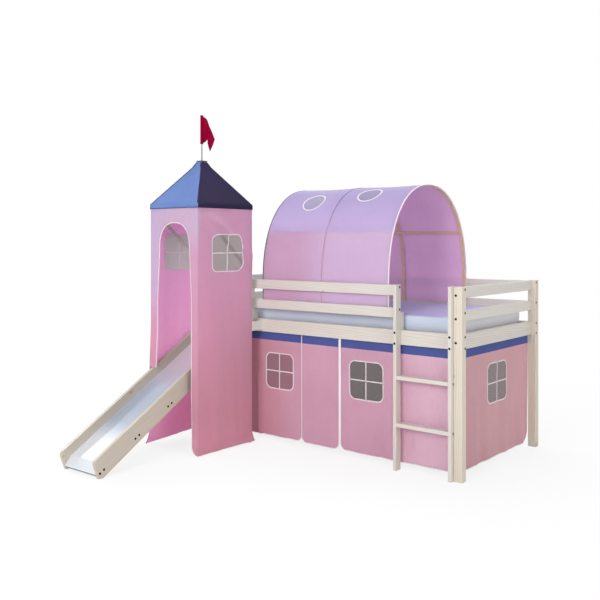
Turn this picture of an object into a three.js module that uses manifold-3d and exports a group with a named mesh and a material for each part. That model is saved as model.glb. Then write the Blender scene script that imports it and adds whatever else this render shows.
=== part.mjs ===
// Mid-sleeper loft bed with ladder, slide, play tower, tunnel tent and play curtains.
// Millimetres, +Z up. X runs along the bed, Y from the slide's foot to the back.
import * as THREE from 'three';
import { mergeVertices } from 'three/addons/utils/BufferGeometryUtils.js';
import Module from 'manifold-3d';

const wasm = await Module();
wasm.setup();

// Clearances and the overrun that every cut shares
const fit = 0.3;
const overrun = 5;
const clothThickness = 2;

// Bed frame
const bedLength = 2185;
const bedDepth = 1095;
const postWidth = 55;
const postDepth = 50;
const postHeight = 1130;
const boardThickness = 24;
const edgeRadius = 3;
const sideSetback = 26;
const endSetback = 28;
const railOffset = 369;
const railHeight = 89;
const midGuardOffset = 203;
const midGuardHeight = 62;
const topGuardOffset = 68;
const topGuardHeight = 65;

// Bolt seats in the posts and the stiles
const boltSeatDiameter = 13;
const boltSeatDepth = 8;
const railBoltSpread = 33;
const sideGuardBoltRise = 20;
const endGuardBoltDrop = 14;

// Slatted base and mattress
const ledgeSection = 25;
const ledgeOffset = 29;
const slatCount = 13;
const slatWidth = 70;
const slatThickness = 18;
const slatPlay = 4;
const tapeWidth = 25;
const tapeThickness = 1.6;
const tapeBite = 0.4;
const tapeOffset = 180;
const mattressEndGap = 40.5;
const mattressSideGap = 47.5;
const mattressTopOffset = 90;
const mattressCornerRadius = 60;
const mattressEdgeRadius = 22;
const mattressCrown = 5;
const mattressWaist = 5;
const crownRingShare = 0.8;

// Ladder
const stileDepth = 54;
const stileThickness = 22;
const ladderInnerWidth = 352;
const rungThickness = 24;
const rungDepth = 50;
const firstRungTop = 290;
const rungRise = 288;

// Slide entry
const slideEndGap = 149;
const slideWidth = 350;
const guardUprightWidth = 22;
const guardUprightOffset = 25;
const guardBlockDepth = 34;
const guardBlockHeight = 107;

// Slide
const slideReach = 1297;
const slideSeatOffset = 2.8;
const slideBoardHeight = 110;
const slideBoardThickness = 22;
const slideToeRadius = 34;
const slideToeFlat = 30;
const slideToeLean = 14;
const panelThickness = 15;
const panelTop = 50;
const battenWidth = 70;
const battenThickness = 22;
const battenCount = 5;
const firstBatten = 38;
const battenPitch = 305;
const toeBattenEdge = 14;
const cleatDepth = 22;
const cleatHeight = 24;
const battenBoltSpread = 17;

// Play tower
const towerOverhang = 109;
const towerFront = 582;
const towerRear = 70;
const wallTop = 1640;
const wallHem = 6;
const archOffset = 56;
const archSpring = 1342;
const archApex = 1518;
const archSpringHalf = 147;
const archFootHalf = 166;
const archFlareEnd = 1000;
const archPower = 2.4;
const tuckHeight = 53;
const tuckClearance = 58.5;
const tuckAngle = THREE.MathUtils.degToRad(74);
const panelBulge = 14;
const hemFlare = 40;
const hemFlareHeight = 110;
const uprightThickness = 6;
const uprightDepth = 30;
const eaveHeight = 30;
const eaveThickness = 12;
const rafterDiameter = 12;
const rafterDrop = 13;
const hubHalf = 22;
const hubHeight = 24;
const braceFoot = 1170;
const braceWidth = 24;
const braceThickness = 10;
const bracketHeight = 64;
const bracketThickness = 18;
const roofSkirt = 32;
const roofEave = 1644;
const roofShoulder = 1900;
const shoulderHalf = 45;
const roofTop = 1938;
const crownHalf = 27;
const crownThickness = 8;
const crownBossHalf = 14;
const roofSag = 9;
const headShares = [0, 0.5];
// How far down the slope each row lies, and how much of the sag it takes
const roofSlopeShares = [[0.3, 0.9], [0.6, 1], [0.85, 0.5], [1, 0]];

// Flag and pole
const poleDiameter = 10;
const poleTipEase = 2;
const poleSocketDepth = 24;
const flagHoist = 198;
const flagTop = 2260;
const flagThickness = 1;
const pocketHalfWidth = 11;
const pocketHalfDepth = 7.5;
const pocketWall = 1.5;
const flagTurn = THREE.MathUtils.degToRad(25);
// Out from the pole, down from the top and aside, along the flag's upper and lower edges
const flagUpperEdge = [[34, 32, 4], [49.7, 70, -5], [68, 118, 4], [87, 165, 0]];
const flagLowerEdge = [[25, 180, 9], [42, 168, -8], [47, 191, -24], [56, 242, -8]];
const flagUpperStart = 8;
const flagLowerStart = 192;

// Tunnel tent
const hoopCount = 3;
const hoopPitch = 505;
const firstHoopOffset = 141;
const hoopWidth = 22;
const hoopThickness = 5;
const hoopFootOffset = 3;
const hoopSpringOffset = 187;
const hoopApexOffset = 833;
const hoopPower = 2.2;
const coverLip = 8;
const coverHemOffset = 8;
const coverSag = 3;
const purlinOffset = 532;
const purlinWidth = 22;
const purlinThickness = 6;
const purlinEdgeRadius = 1.5;

// Play curtains
const curtainThickness = 3;
const curtainHem = 34;
const curtainLap = 25;
const slitGap = 4;
const leftSlit = -137.5;
const rightSlit = 184.5;
const curtainCorner = 46;
const curtainRipple = 7;
const rippleLength = 236;
const rearPostGap = 26;
const curtainRows = 5;
const cornerShares = [0, 0.12, 0.35, 0.7];
const doorRippleShare = 0.3;
const doorCordDiameter = 4;

// Worked-out places that several pieces share
const halfLength = bedLength / 2;
const innerHalfLength = halfLength - postWidth;
const railBottom = postHeight - railOffset;
const railTop = railBottom + railHeight;
const midGuardBottom = postHeight - midGuardOffset;
const topGuardBottom = postHeight - topGuardOffset;
const frontRailFace = sideSetback;
const frontRailBack = sideSetback + boardThickness;
const rearRailFront = bedDepth - sideSetback - boardThickness;
const endBoardInner = halfLength - endSetback - boardThickness;
const stileBack = frontRailFace - fit;
const stileFront = stileBack - stileDepth;
const rightStileOuter = innerHalfLength - fit;
const leftStileInner = rightStileOuter - stileThickness - ladderInnerWidth;
const leftStileOuter = leftStileInner - stileThickness;
const guardBack = stileBack;
const guardFront = guardBack - boardThickness;
const slideLeft = -halfLength + slideEndGap;
const slideRight = slideLeft + slideWidth;
const guardUprightLeft = slideRight + guardUprightOffset;
const guardUprightRight = guardUprightLeft + guardUprightWidth;
const ledgeBottom = railBottom + ledgeOffset;
const ledgeTop = ledgeBottom + ledgeSection;
const slatBottom = ledgeTop + fit;
const slatTop = slatBottom + slatThickness;
const mattressLength = 2 * (endBoardInner - mattressEndGap);
const mattressWidth = rearRailFront - frontRailBack - 2 * mattressSideGap;
const mattressTop = railTop + mattressTopOffset;
const towerLeft = slideLeft - uprightThickness - clothThickness - 2 * fit;
const towerRight = slideRight + towerOverhang;
const towerWidth = towerRight - towerLeft;
const towerCentre = (towerRight + towerLeft) / 2;
const archCentre = (slideLeft + slideRight) / 2 + archOffset;
const hoopCentres = Array.from({ length: hoopCount }, (_, i) => slideRight + firstHoopOffset + i * hoopPitch);

// Finishes
const finish = (name, colour, roughness) => {
  const material = new THREE.MeshStandardMaterial({ color: colour, roughness, metalness: 0 });
  material.name = name;
  return material;
};
const pine = finish('white-washed pine', 0xe9e2d3, 0.6);
const bareWood = finish('pale bent wood', 0xd9bfa0, 0.6);
const pinkCloth = finish('pink cotton', 0xd79ab5, 0.95);
const lilacCloth = finish('lilac pink cotton', 0xcb9fcf, 0.95);
const blueCloth = finish('blue cotton', 0x4f5f9f, 0.95);
const redCloth = finish('crimson cotton', 0x96123a, 0.9);
const slickPanel = finish('white slide panel', 0xe6ebf2, 0.2);
const plainCloth = finish('white ticking', 0xdfe3f2, 0.95);
const capPlastic = finish('grey plastic', 0x8d8f96, 0.45);
const whitePlastic = finish('white plastic', 0xf0efec, 0.4);
const webbing = finish('natural webbing', 0xd8d2c4, 0.9);

const bed = new THREE.Group();
const addPiece = (name, geometry, material) => {
  const mesh = new THREE.Mesh(geometry, material);
  mesh.name = name;
  bed.add(mesh);
  return mesh;
};

// Closed meshes to solids and back
const toSolid = (geometry) => {
  const bare = geometry.clone();
  bare.deleteAttribute('normal');
  bare.deleteAttribute('uv');
  const merged = mergeVertices(bare);
  return new wasm.Manifold(new wasm.Mesh({
    numProp: 3,
    vertProperties: new Float32Array(merged.attributes.position.array),
    triVerts: new Uint32Array(merged.index.array),
  }));
};
const toGeometry = (solid) => {
  const mesh = solid.getMesh();
  const geometry = new THREE.BufferGeometry();
  geometry.setAttribute('position', new THREE.BufferAttribute(new Float32Array(mesh.vertProperties), 3));
  geometry.setIndex(new THREE.BufferAttribute(new Uint32Array(mesh.triVerts), 1));
  geometry.computeVertexNormals();
  return geometry;
};
const cut = (geometry, cutters) => {
  let solid = toSolid(geometry);
  for (const cutter of cutters) solid = solid.subtract(toSolid(cutter));
  return toGeometry(solid);
};
const join = (geometries) => {
  const solids = geometries.map(toSolid);
  return toGeometry(solids.reduce((whole, next) => whole.add(next)));
};

// A prism of an outline, run along one world axis between two places
const runAlong = {
  x: new THREE.Matrix4().makeBasis(
    new THREE.Vector3(0, 1, 0), new THREE.Vector3(0, 0, 1), new THREE.Vector3(1, 0, 0)),
  y: new THREE.Matrix4().makeBasis(
    new THREE.Vector3(0, 0, 1), new THREE.Vector3(1, 0, 0), new THREE.Vector3(0, 1, 0)),
  z: new THREE.Matrix4(),
};
const prism = (outline, axis, from, to, curveSegments = 4) => {
  const options = { depth: to - from, bevelEnabled: false, curveSegments };
  const geometry = new THREE.ExtrudeGeometry(outline, options);
  geometry.translate(0, 0, from);
  return geometry.applyMatrix4(runAlong[axis]);
};
const roundedOutline = ([a0, a1], [b0, b1], radius) => {
  const shape = new THREE.Shape();
  shape.absarc(a1 - radius, b0 + radius, radius, -Math.PI / 2, 0);
  shape.absarc(a1 - radius, b1 - radius, radius, 0, Math.PI / 2);
  shape.absarc(a0 + radius, b1 - radius, radius, Math.PI / 2, Math.PI);
  shape.absarc(a0 + radius, b0 + radius, radius, Math.PI, 1.5 * Math.PI);
  shape.closePath();
  return shape;
};

// A planed board with eased long edges
const board = (axis, x, y, z, radius = edgeRadius) => {
  const across = { x: [y, z, x], y: [z, x, y], z: [x, y, z] }[axis];
  return prism(roundedOutline(across[0], across[1], radius), axis, across[2][0], across[2][1], 2);
};
const block = (x, y, z) => {
  const geometry = new THREE.BoxGeometry(x[1] - x[0], y[1] - y[0], z[1] - z[0]);
  return geometry.translate((x[0] + x[1]) / 2, (y[0] + y[1]) / 2, (z[0] + z[1]) / 2);
};

// A blind bolt seat drilled into a face that looks along one axis
const boltSeat = (axis, face, first, second) => {
  const hole = new THREE.CylinderGeometry(boltSeatDiameter / 2, boltSeatDiameter / 2, 2 * boltSeatDepth, 12);
  if (axis === 'x') hole.rotateZ(Math.PI / 2).translate(face, first, second);
  else hole.translate(first, face, second);
  return hole;
};

// A sheet of cloth or a bent strip: a grid of points given a thickness to both sides
const thicken = (points, quads, thickness) => {
  const triangles = quads.flatMap(([a, b, c, d]) => (c === d ? [[a, b, c]] : [[a, b, c], [a, c, d]]));
  const normals = points.map(() => new THREE.Vector3());
  const edges = new Map();
  for (const [a, b, c] of triangles) {
    const ab = points[b].clone().sub(points[a]);
    const ac = points[c].clone().sub(points[a]);
    const normal = ab.cross(ac);
    for (const corner of [a, b, c]) normals[corner].add(normal);
    for (const [from, to] of [[a, b], [b, c], [c, a]]) {
      const twin = `${to} ${from}`;
      if (edges.has(twin)) edges.delete(twin);
      else edges.set(`${from} ${to}`, [from, to]);
    }
  }
  const offset = (side) => points.map((point, i) =>
    point.clone().addScaledVector(normals[i].clone().normalize(), side * thickness / 2));
  const all = [...offset(1), ...offset(-1)];
  const back = points.length;
  const faces = [];
  for (const [a, b, c] of triangles) faces.push([a, b, c], [a + back, c + back, b + back]);
  for (const [a, b] of edges.values()) faces.push([b, a, a + back], [b, a + back, b + back]);
  const geometry = new THREE.BufferGeometry();
  geometry.setAttribute('position', new THREE.Float32BufferAttribute(all.flatMap((p) => p.toArray()), 3));
  geometry.setIndex(faces.flat());
  geometry.computeVertexNormals();
  return geometry;
};
const gridQuads = (columns, rows, at = (i, j) => j * (columns + 1) + i) => {
  const quads = [];
  for (let j = 0; j < rows; j += 1) {
    for (let i = 0; i < columns; i += 1) quads.push([at(i, j), at(i, j + 1), at(i + 1, j + 1), at(i + 1, j)]);
  }
  return quads;
};

const smooth = (from, to, value) => THREE.MathUtils.smoothstep(value, from, to);
const mix = THREE.MathUtils.lerp;

// Posts: side boards bolt in along X, end boards along Y
const guardCentres = [midGuardBottom + midGuardHeight / 2, topGuardBottom + topGuardHeight / 2];
const railCentre = railBottom + railHeight / 2;
for (const [endName, endSide] of [['left', -1], ['right', 1]]) {
  for (const [sideName, front] of [['front', true], ['rear', false]]) {
    const x = endSide > 0 ? [innerHalfLength, halfLength] : [-halfLength, -innerHalfLength];
    const y = front ? [0, postDepth] : [bedDepth - postDepth, bedDepth];
    const outerX = endSide * halfLength;
    const outerY = front ? 0 : bedDepth;
    const boardMiddleX = endSide * (halfLength - endSetback - boardThickness / 2);
    const boardMiddleY = front ? sideSetback + boardThickness / 2 : rearRailFront + boardThickness / 2;
    const seats = [railCentre - railBoltSpread, railCentre + railBoltSpread]
      .concat(guardCentres.map((centre) => centre + sideGuardBoltRise))
      .map((height) => boltSeat('x', outerX, boardMiddleY, height));
    for (const height of [railCentre, ...guardCentres.map((centre) => centre - endGuardBoltDrop)]) {
      seats.push(boltSeat('y', outerY, boardMiddleX, height));
    }
    addPiece(`post_${sideName}_${endName}`, cut(board('z', x, y, [0, postHeight]), seats), pine);
  }
}

// Side rails and rear guards run between the posts
const sideSpan = [-innerHalfLength + fit, innerHalfLength - fit];
const railLevel = [railBottom, railTop];
const midLevel = [midGuardBottom, midGuardBottom + midGuardHeight];
const topLevel = [topGuardBottom, topGuardBottom + topGuardHeight];
const rearBoardSpan = [rearRailFront, rearRailFront + boardThickness];
addPiece('rail_front', board('x', sideSpan, [frontRailFace, frontRailBack], railLevel), pine);
addPiece('rail_rear', board('x', sideSpan, rearBoardSpan, railLevel), pine);
addPiece('guard_rear_mid', board('x', sideSpan, rearBoardSpan, midLevel), pine);
addPiece('guard_rear_top', board('x', sideSpan, rearBoardSpan, topLevel), pine);

// End boards run between the front and the rear post
const endSpan = [postDepth + fit, bedDepth - postDepth - fit];
for (const [endName, x] of [
  ['left', [-halfLength + endSetback, -endBoardInner]],
  ['right', [endBoardInner, halfLength - endSetback]],
]) {
  addPiece(`end_board_${endName}_lower`, board('y', x, endSpan, railLevel), pine);
  addPiece(`end_board_${endName}_mid`, board('y', x, endSpan, midLevel), pine);
  addPiece(`end_board_${endName}_top`, board('y', x, endSpan, topLevel), pine);
}

// Front guards run from the upright beside the slide to the ladder's left stile
const frontGuardSpan = [guardUprightRight + fit, leftStileOuter - fit];
const guardDepth = [guardFront, guardBack];
addPiece('guard_front_mid', board('x', frontGuardSpan, guardDepth, midLevel), pine);
addPiece('guard_front_top', board('x', frontGuardSpan, guardDepth, topLevel), pine);
const uprightLevel = [railBottom, topGuardBottom + topGuardHeight];
addPiece('guard_upright',
  board('z', [guardUprightLeft, guardUprightRight], [stileFront, stileBack], uprightLevel), pine);
const blockY = [frontRailFace, frontRailFace + guardBlockDepth];
const blockZ = [railTop + fit, railTop + guardBlockHeight];
addPiece('guard_block_left', board('z', [guardUprightLeft, guardUprightRight], blockY, blockZ), pine);
addPiece('guard_block_right', board('z', [leftStileOuter, leftStileInner], blockY, blockZ), pine);

// Ladder: two stiles bolted to the front rail, two flat rungs between them
const stileSeats = (x) => [-1, 1].map((side) =>
  boltSeat('y', stileFront, x, railCentre + side * railBoltSpread));
const rungCentres = [0, 1].map((step) => firstRungTop + step * rungRise - rungThickness / 2);
const stileMiddleY = (stileFront + stileBack) / 2;
const rightStile = board('z', [rightStileOuter - stileThickness, rightStileOuter],
  [stileFront, stileBack], [0, postHeight]);
addPiece('ladder_stile_right', cut(rightStile, [
  ...stileSeats(rightStileOuter - stileThickness / 2),
  ...rungCentres.map((height) => boltSeat('x', rightStileOuter, stileMiddleY, height)),
]), pine);
const leftStile = board('z', [leftStileOuter, leftStileInner], [stileFront, stileBack], [0, postHeight]);
addPiece('ladder_stile_left', cut(leftStile, [
  ...stileSeats(leftStileOuter + stileThickness / 2),
  ...guardCentres.map((height) =>
    boltSeat('x', leftStileInner, (guardFront + guardBack) / 2, height + sideGuardBoltRise)),
]), pine);
const rungSpan = [leftStileInner + fit, rightStileOuter - stileThickness - fit];
const rungY = [stileMiddleY - rungDepth / 2, stileMiddleY + rungDepth / 2];
rungCentres.forEach((centre, step) => {
  const level = [centre - rungThickness / 2, centre + rungThickness / 2];
  addPiece(`ladder_rung_${step + 1}`, board('x', rungSpan, rungY, level), pine);
});

// Ledges carry a roll of slats held together by two tapes
const ledgeSpan = [-endBoardInner + fit, endBoardInner - fit];
const ledgeLevel = [ledgeBottom, ledgeTop];
addPiece('slat_ledge_front', board('x', ledgeSpan,
  [frontRailBack + fit, frontRailBack + fit + ledgeSection], ledgeLevel), pine);
addPiece('slat_ledge_rear', board('x', ledgeSpan,
  [rearRailFront - fit - ledgeSection, rearRailFront - fit], ledgeLevel), pine);
const slatSpan = [frontRailBack + slatPlay, rearRailFront - slatPlay];
const slatPitch = (mattressLength - slatWidth) / (slatCount - 1);
const slats = Array.from({ length: slatCount }, (_, i) => {
  const left = -mattressLength / 2 + i * slatPitch;
  return block([left, left + slatWidth], slatSpan, [slatBottom, slatTop]);
});
const tapes = [slatSpan[0] + tapeOffset, slatSpan[1] - tapeOffset - tapeWidth].map((y) => block(
  [-mattressLength / 2, mattressLength / 2], [y, y + tapeWidth],
  [slatBottom - tapeThickness + tapeBite, slatBottom + tapeBite]));
addPiece('slat_roll', join([...slats, ...tapes]), webbing);

// Mattress: rounded corners, drawn-in sides and a slightly crowned top
const mattressCentreY = bedDepth / 2;
const crownRingInset = mattressWidth / 4;
const mattressBottom = slatTop + fit;
const mattressRing = (inset, z, crownShare) => {
  const steps = 4;
  const ring = [];
  const halfX = mattressLength / 2 - inset;
  const halfY = mattressWidth / 2 - inset;
  const radius = Math.max(mattressCornerRadius - inset, mattressEdgeRadius);
  for (let quarter = 0; quarter < 4; quarter += 1) {
    const sx = quarter === 0 || quarter === 3 ? 1 : -1;
    const sy = quarter < 2 ? 1 : -1;
    for (let step = 0; step <= steps; step += 1) {
      const angle = (quarter + step / steps) * Math.PI / 2;
      ring.push(new THREE.Vector3(
        sx * (halfX - radius) + radius * Math.cos(angle),
        mattressCentreY + sy * (halfY - radius) + radius * Math.sin(angle),
        z + crownShare * mattressCrown));
    }
  }
  return ring;
};
const mattressRings = [];
const mattressHeight = mattressTop - mattressCrown - mattressBottom;
for (const side of [0, 1]) {
  for (const step of [0, 1, 2, 3]) {
    const angle = (side ? step : 3 - step) * Math.PI / 6;
    const inset = mattressEdgeRadius * (1 - Math.cos(angle));
    const rise = mattressEdgeRadius * (1 - Math.sin(angle));
    const z = side ? mattressBottom + mattressHeight - rise : mattressBottom + rise;
    mattressRings.push(mattressRing(inset, z, 0));
  }
  if (!side) mattressRings.push(mattressRing(mattressWaist, mattressBottom + mattressHeight / 2, 0));
}
mattressRings.push(mattressRing(crownRingInset, mattressBottom + mattressHeight, crownRingShare));
const closedLoft = (rings, capTop) => {
  const count = rings[0].length;
  const points = rings.flat();
  const faces = [];
  for (let j = 0; j < rings.length - 1; j += 1) {
    for (let i = 0; i < count; i += 1) {
      const a = j * count + i;
      const b = j * count + (i + 1) % count;
      faces.push([a, b, b + count], [a, b + count, a + count]);
    }
  }
  const capBottom = rings[0].reduce((sum, p) => sum.add(p), new THREE.Vector3()).divideScalar(count);
  const bottom = points.push(capBottom) - 1;
  const top = points.push(capTop) - 1;
  const last = (rings.length - 1) * count;
  for (let i = 0; i < count; i += 1) {
    faces.push([bottom, (i + 1) % count, i], [top, last + i, last + (i + 1) % count]);
  }
  const geometry = new THREE.BufferGeometry();
  geometry.setAttribute('position', new THREE.Float32BufferAttribute(points.flatMap((p) => p.toArray()), 3));
  geometry.setIndex(faces.flat());
  geometry.computeVertexNormals();
  return geometry;
};
addPiece('mattress', closedLoft(mattressRings,
  new THREE.Vector3(0, mattressCentreY, mattressTop)), plainCloth);

// Slide: everything is drawn on the slope, with s up the slope and n square to it
const slideToeY = frontRailFace - slideReach;
const slideRise = (railBottom + slideSeatOffset) / (stileBack - slideToeY);
const slideAngle = Math.atan(slideRise);
const onSlope = (s, n) => new THREE.Vector2(
  slideToeY + s * Math.cos(slideAngle) - n * Math.sin(slideAngle),
  s * Math.sin(slideAngle) + n * Math.cos(slideAngle));
const slopeEndY = stileBack;
const slopeAtEnd = (n) => {
  const z = (slopeEndY - slideToeY) * slideRise + n / Math.cos(slideAngle);
  return new THREE.Vector2(slopeEndY, z);
};
const toeSteps = 5;
const toeArc = (centreS, centreN, from, to) => Array.from({ length: toeSteps + 1 }, (_, i) => {
  const angle = mix(from, to, i / toeSteps);
  return onSlope(centreS + slideToeRadius * Math.cos(angle), centreN + slideToeRadius * Math.sin(angle));
});
const slideSideOutline = new THREE.Shape([
  new THREE.Vector2(slideToeY, 0),
  new THREE.Vector2(slideToeY + slideToeFlat, 0),
  slopeAtEnd(0),
  slopeAtEnd(slideBoardHeight),
  ...toeArc(slideToeLean + slideToeRadius, slideBoardHeight - slideToeRadius, Math.PI / 2, Math.PI),
]);
for (const [name, x, face] of [
  ['slide_side_right', [slideRight - slideBoardThickness, slideRight], slideRight],
  ['slide_side_left', [slideLeft, slideLeft + slideBoardThickness], slideLeft],
]) {
  const seats = [];
  for (let i = 0; i < battenCount; i += 1) {
    for (const side of [-1, 1]) {
      const place = onSlope(firstBatten + i * battenPitch + side * battenBoltSpread,
        panelTop - panelThickness - battenThickness / 2);
      seats.push(boltSeat('x', face, place.x, place.y));
    }
  }
  addPiece(name, cut(prism(slideSideOutline, 'x', x[0], x[1]), seats), pine);
}
const slideInner = [slideLeft + slideBoardThickness + fit, slideRight - slideBoardThickness - fit];
const panelStart = firstBatten + battenWidth / 2 + fit;
addPiece('slide_panel', prism(new THREE.Shape([
  onSlope(panelStart, panelTop - panelThickness), slopeAtEnd(panelTop - panelThickness),
  slopeAtEnd(panelTop), onSlope(panelStart, panelTop),
]), 'x', ...slideInner), slickPanel);
const battenBottom = panelTop - panelThickness - fit - battenThickness;
addPiece('slide_toe_board', prism(new THREE.Shape([
  onSlope(firstBatten - battenWidth / 2, battenBottom), onSlope(firstBatten + battenWidth / 2, battenBottom),
  onSlope(firstBatten + battenWidth / 2, panelTop),
  onSlope(firstBatten - battenWidth / 2, battenBottom + toeBattenEdge),
]), 'x', ...slideInner), pine);
for (let i = 1; i < battenCount; i += 1) {
  const centre = firstBatten + i * battenPitch;
  addPiece(`slide_batten_${i}`, prism(new THREE.Shape([
    onSlope(centre - battenWidth / 2, battenBottom), onSlope(centre + battenWidth / 2, battenBottom),
    onSlope(centre + battenWidth / 2, battenBottom + battenThickness),
    onSlope(centre - battenWidth / 2, battenBottom + battenThickness),
  ]), 'x', ...slideInner), pine);
}
const cleatFront = slopeEndY - cleatDepth;
const cleatTop = (cleatFront - slideToeY) * slideRise
  + (panelTop - panelThickness) / Math.cos(slideAngle) - fit;
addPiece('slide_cleat',
  board('x', slideInner, [cleatFront, slopeEndY], [cleatTop - cleatHeight, cleatTop]), pine);

// Tower frame: two rear uprights, brackets to the front rail, roof frame and braces
const wallRight = towerRight - clothThickness - fit;
const wallLeft = towerLeft + clothThickness + fit;
const frameFrontY = -towerFront + clothThickness + fit;
const uprightRearY = -towerRear - fit;
const eaveBottom = wallTop - eaveHeight;
for (const [name, x, outside] of [
  ['right', [wallRight - uprightThickness, wallRight], -1],
  ['left', [wallLeft, wallLeft + uprightThickness], 1],
]) {
  addPiece(`tower_upright_${name}`,
    board('z', x, [uprightRearY - uprightDepth, uprightRearY], [0, eaveBottom - fit]), pine);
  const bracketX = outside > 0 ? [x[1] - bracketThickness, x[1]] : [x[0], x[0] + bracketThickness];
  addPiece(`tower_bracket_${name}`, board('y', bracketX, [uprightRearY + fit, stileBack],
    [railCentre - bracketHeight / 2, railCentre + bracketHeight / 2]), pine);
  const braceX = outside > 0 ? [x[0], x[0] + braceThickness] : [x[1] - braceThickness, x[1]];
  const braceRear = uprightRearY - uprightDepth - fit;
  const braceTop = eaveBottom - fit;
  const braceFrontY = frameFrontY + eaveThickness;
  const braceLean = braceWidth * Math.SQRT2;
  addPiece(`tower_brace_${name}`, prism(new THREE.Shape([
    new THREE.Vector2(braceRear, braceFoot), new THREE.Vector2(braceRear, braceFoot + braceLean),
    new THREE.Vector2(braceFrontY + braceLean, braceTop), new THREE.Vector2(braceFrontY, braceTop),
  ]), 'x', ...braceX), bareWood);
}

// Roof frame: an eave ring, four rafters and the hub that they meet at
const roofCentreY = -(towerFront + towerRear) / 2;
const towerDepth = towerFront - towerRear;
const ringOuter = block([wallLeft, wallRight], [frameFrontY, uprightRearY], [eaveBottom, wallTop]);
const ringInner = block([wallLeft + eaveThickness, wallRight - eaveThickness],
  [frameFrontY + eaveThickness, uprightRearY - eaveThickness],
  [eaveBottom - overrun, wallTop + overrun]);
const bar = (from, to, diameter) => {
  const length = from.distanceTo(to);
  const rod = new THREE.CylinderGeometry(diameter / 2, diameter / 2, length, 8);
  rod.applyQuaternion(new THREE.Quaternion().setFromUnitVectors(
    new THREE.Vector3(0, 1, 0), to.clone().sub(from).normalize()));
  const middle = from.clone().add(to).divideScalar(2);
  return rod.translate(middle.x, middle.y, middle.z);
};
const hubTop = roofShoulder;
const rafters = [];
for (const sx of [-1, 1]) {
  for (const sy of [-1, 1]) {
    rafters.push(bar(
      new THREE.Vector3(towerCentre + sx * (towerWidth / 2 - rafterDrop),
        roofCentreY + sy * (towerDepth / 2 - rafterDrop), wallTop - rafterDrop),
      new THREE.Vector3(towerCentre + sx * hubHalf / 2, roofCentreY + sy * hubHalf / 2,
        hubTop - rafterDrop - rafterDiameter / 2),
      rafterDiameter));
  }
}
const hub = block([towerCentre - hubHalf, towerCentre + hubHalf],
  [roofCentreY - hubHalf, roofCentreY + hubHalf], [hubTop - hubHeight, hubTop]);
addPiece('tower_roof_frame', join([
  toGeometry(toSolid(ringOuter).subtract(toSolid(ringInner))), ...rafters, hub]), bareWood);

// Crown cap with the flagpole's socket
const crownBottom = roofTop + fit;
const crownTop = crownBottom + crownThickness;
const squareAt = (half) => [
  [towerCentre - half, towerCentre + half], [roofCentreY - half, roofCentreY + half]];
const capPlate = block(...squareAt(crownHalf), [crownBottom, crownTop]);
const capBoss = block(...squareAt(crownBossHalf), [hubTop + fit, crownBottom + crownThickness / 2]);
const socketRadius = poleDiameter / 2 + fit;
const socket = new THREE.CylinderGeometry(socketRadius, socketRadius, poleSocketDepth + overrun, 16)
  .rotateX(Math.PI / 2)
  .translate(towerCentre, roofCentreY, crownTop + overrun - (poleSocketDepth + overrun) / 2);
addPiece('crown_cap', cut(join([capPlate, capBoss]), [socket]), capPlastic);

// Flagpole: a plain rod with an eased tip
const poleRadius = poleDiameter / 2;
const poleBottom = crownTop - poleSocketDepth + fit;
const poleTop = flagTop - pocketWall - fit;
const poleProfile = [
  [0, poleBottom], [poleRadius, poleBottom], [poleRadius, poleTop - poleTipEase],
  [poleRadius - poleTipEase, poleTop], [0, poleTop],
].map(([radius, z]) => new THREE.Vector2(radius, z));
addPiece('flagpole', new THREE.LatheGeometry(poleProfile, 16).rotateX(Math.PI / 2)
  .translate(towerCentre, roofCentreY, 0), whitePlastic);

// Flag: a pocket with a closed top that turns on the pole's tip, and the cloth that droops from it
const ovalOutline = (halfWidth, halfDepth) =>
  new THREE.Shape().absellipse(0, 0, halfWidth, halfDepth, 0, 2 * Math.PI);
const pocketBottom = flagTop - flagHoist;
const pocketSteps = 10;
const pocket = cut(
  prism(ovalOutline(pocketHalfWidth, pocketHalfDepth), 'z', pocketBottom, flagTop, pocketSteps),
  [prism(ovalOutline(pocketHalfWidth - pocketWall, pocketHalfDepth - pocketWall), 'z',
    pocketBottom - overrun, flagTop - pocketWall, pocketSteps)]);
const flagEdge = (start, places) => new THREE.CatmullRomCurve3(
  [[pocketHalfWidth - pocketWall / 2, start, 0], ...places]
    .map(([out, drop, aside]) => new THREE.Vector3(out, aside, flagTop - drop)));
const upperEdge = flagEdge(flagUpperStart, flagUpperEdge);
const lowerEdge = flagEdge(flagLowerStart, flagLowerEdge);
const flagColumns = 12;
const flagRows = 6;
const flagPoints = [];
for (let j = 0; j <= flagRows; j += 1) {
  for (let i = 0; i <= flagColumns; i += 1) {
    const share = i / flagColumns;
    flagPoints.push(upperEdge.getPoint(share).lerp(lowerEdge.getPoint(share), j / flagRows));
  }
}
const flagCloth = thicken(flagPoints, gridQuads(flagColumns, flagRows), flagThickness);
addPiece('flag', join([pocket, flagCloth]).rotateZ(flagTurn)
  .translate(towerCentre, roofCentreY, 0), redCloth);

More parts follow.
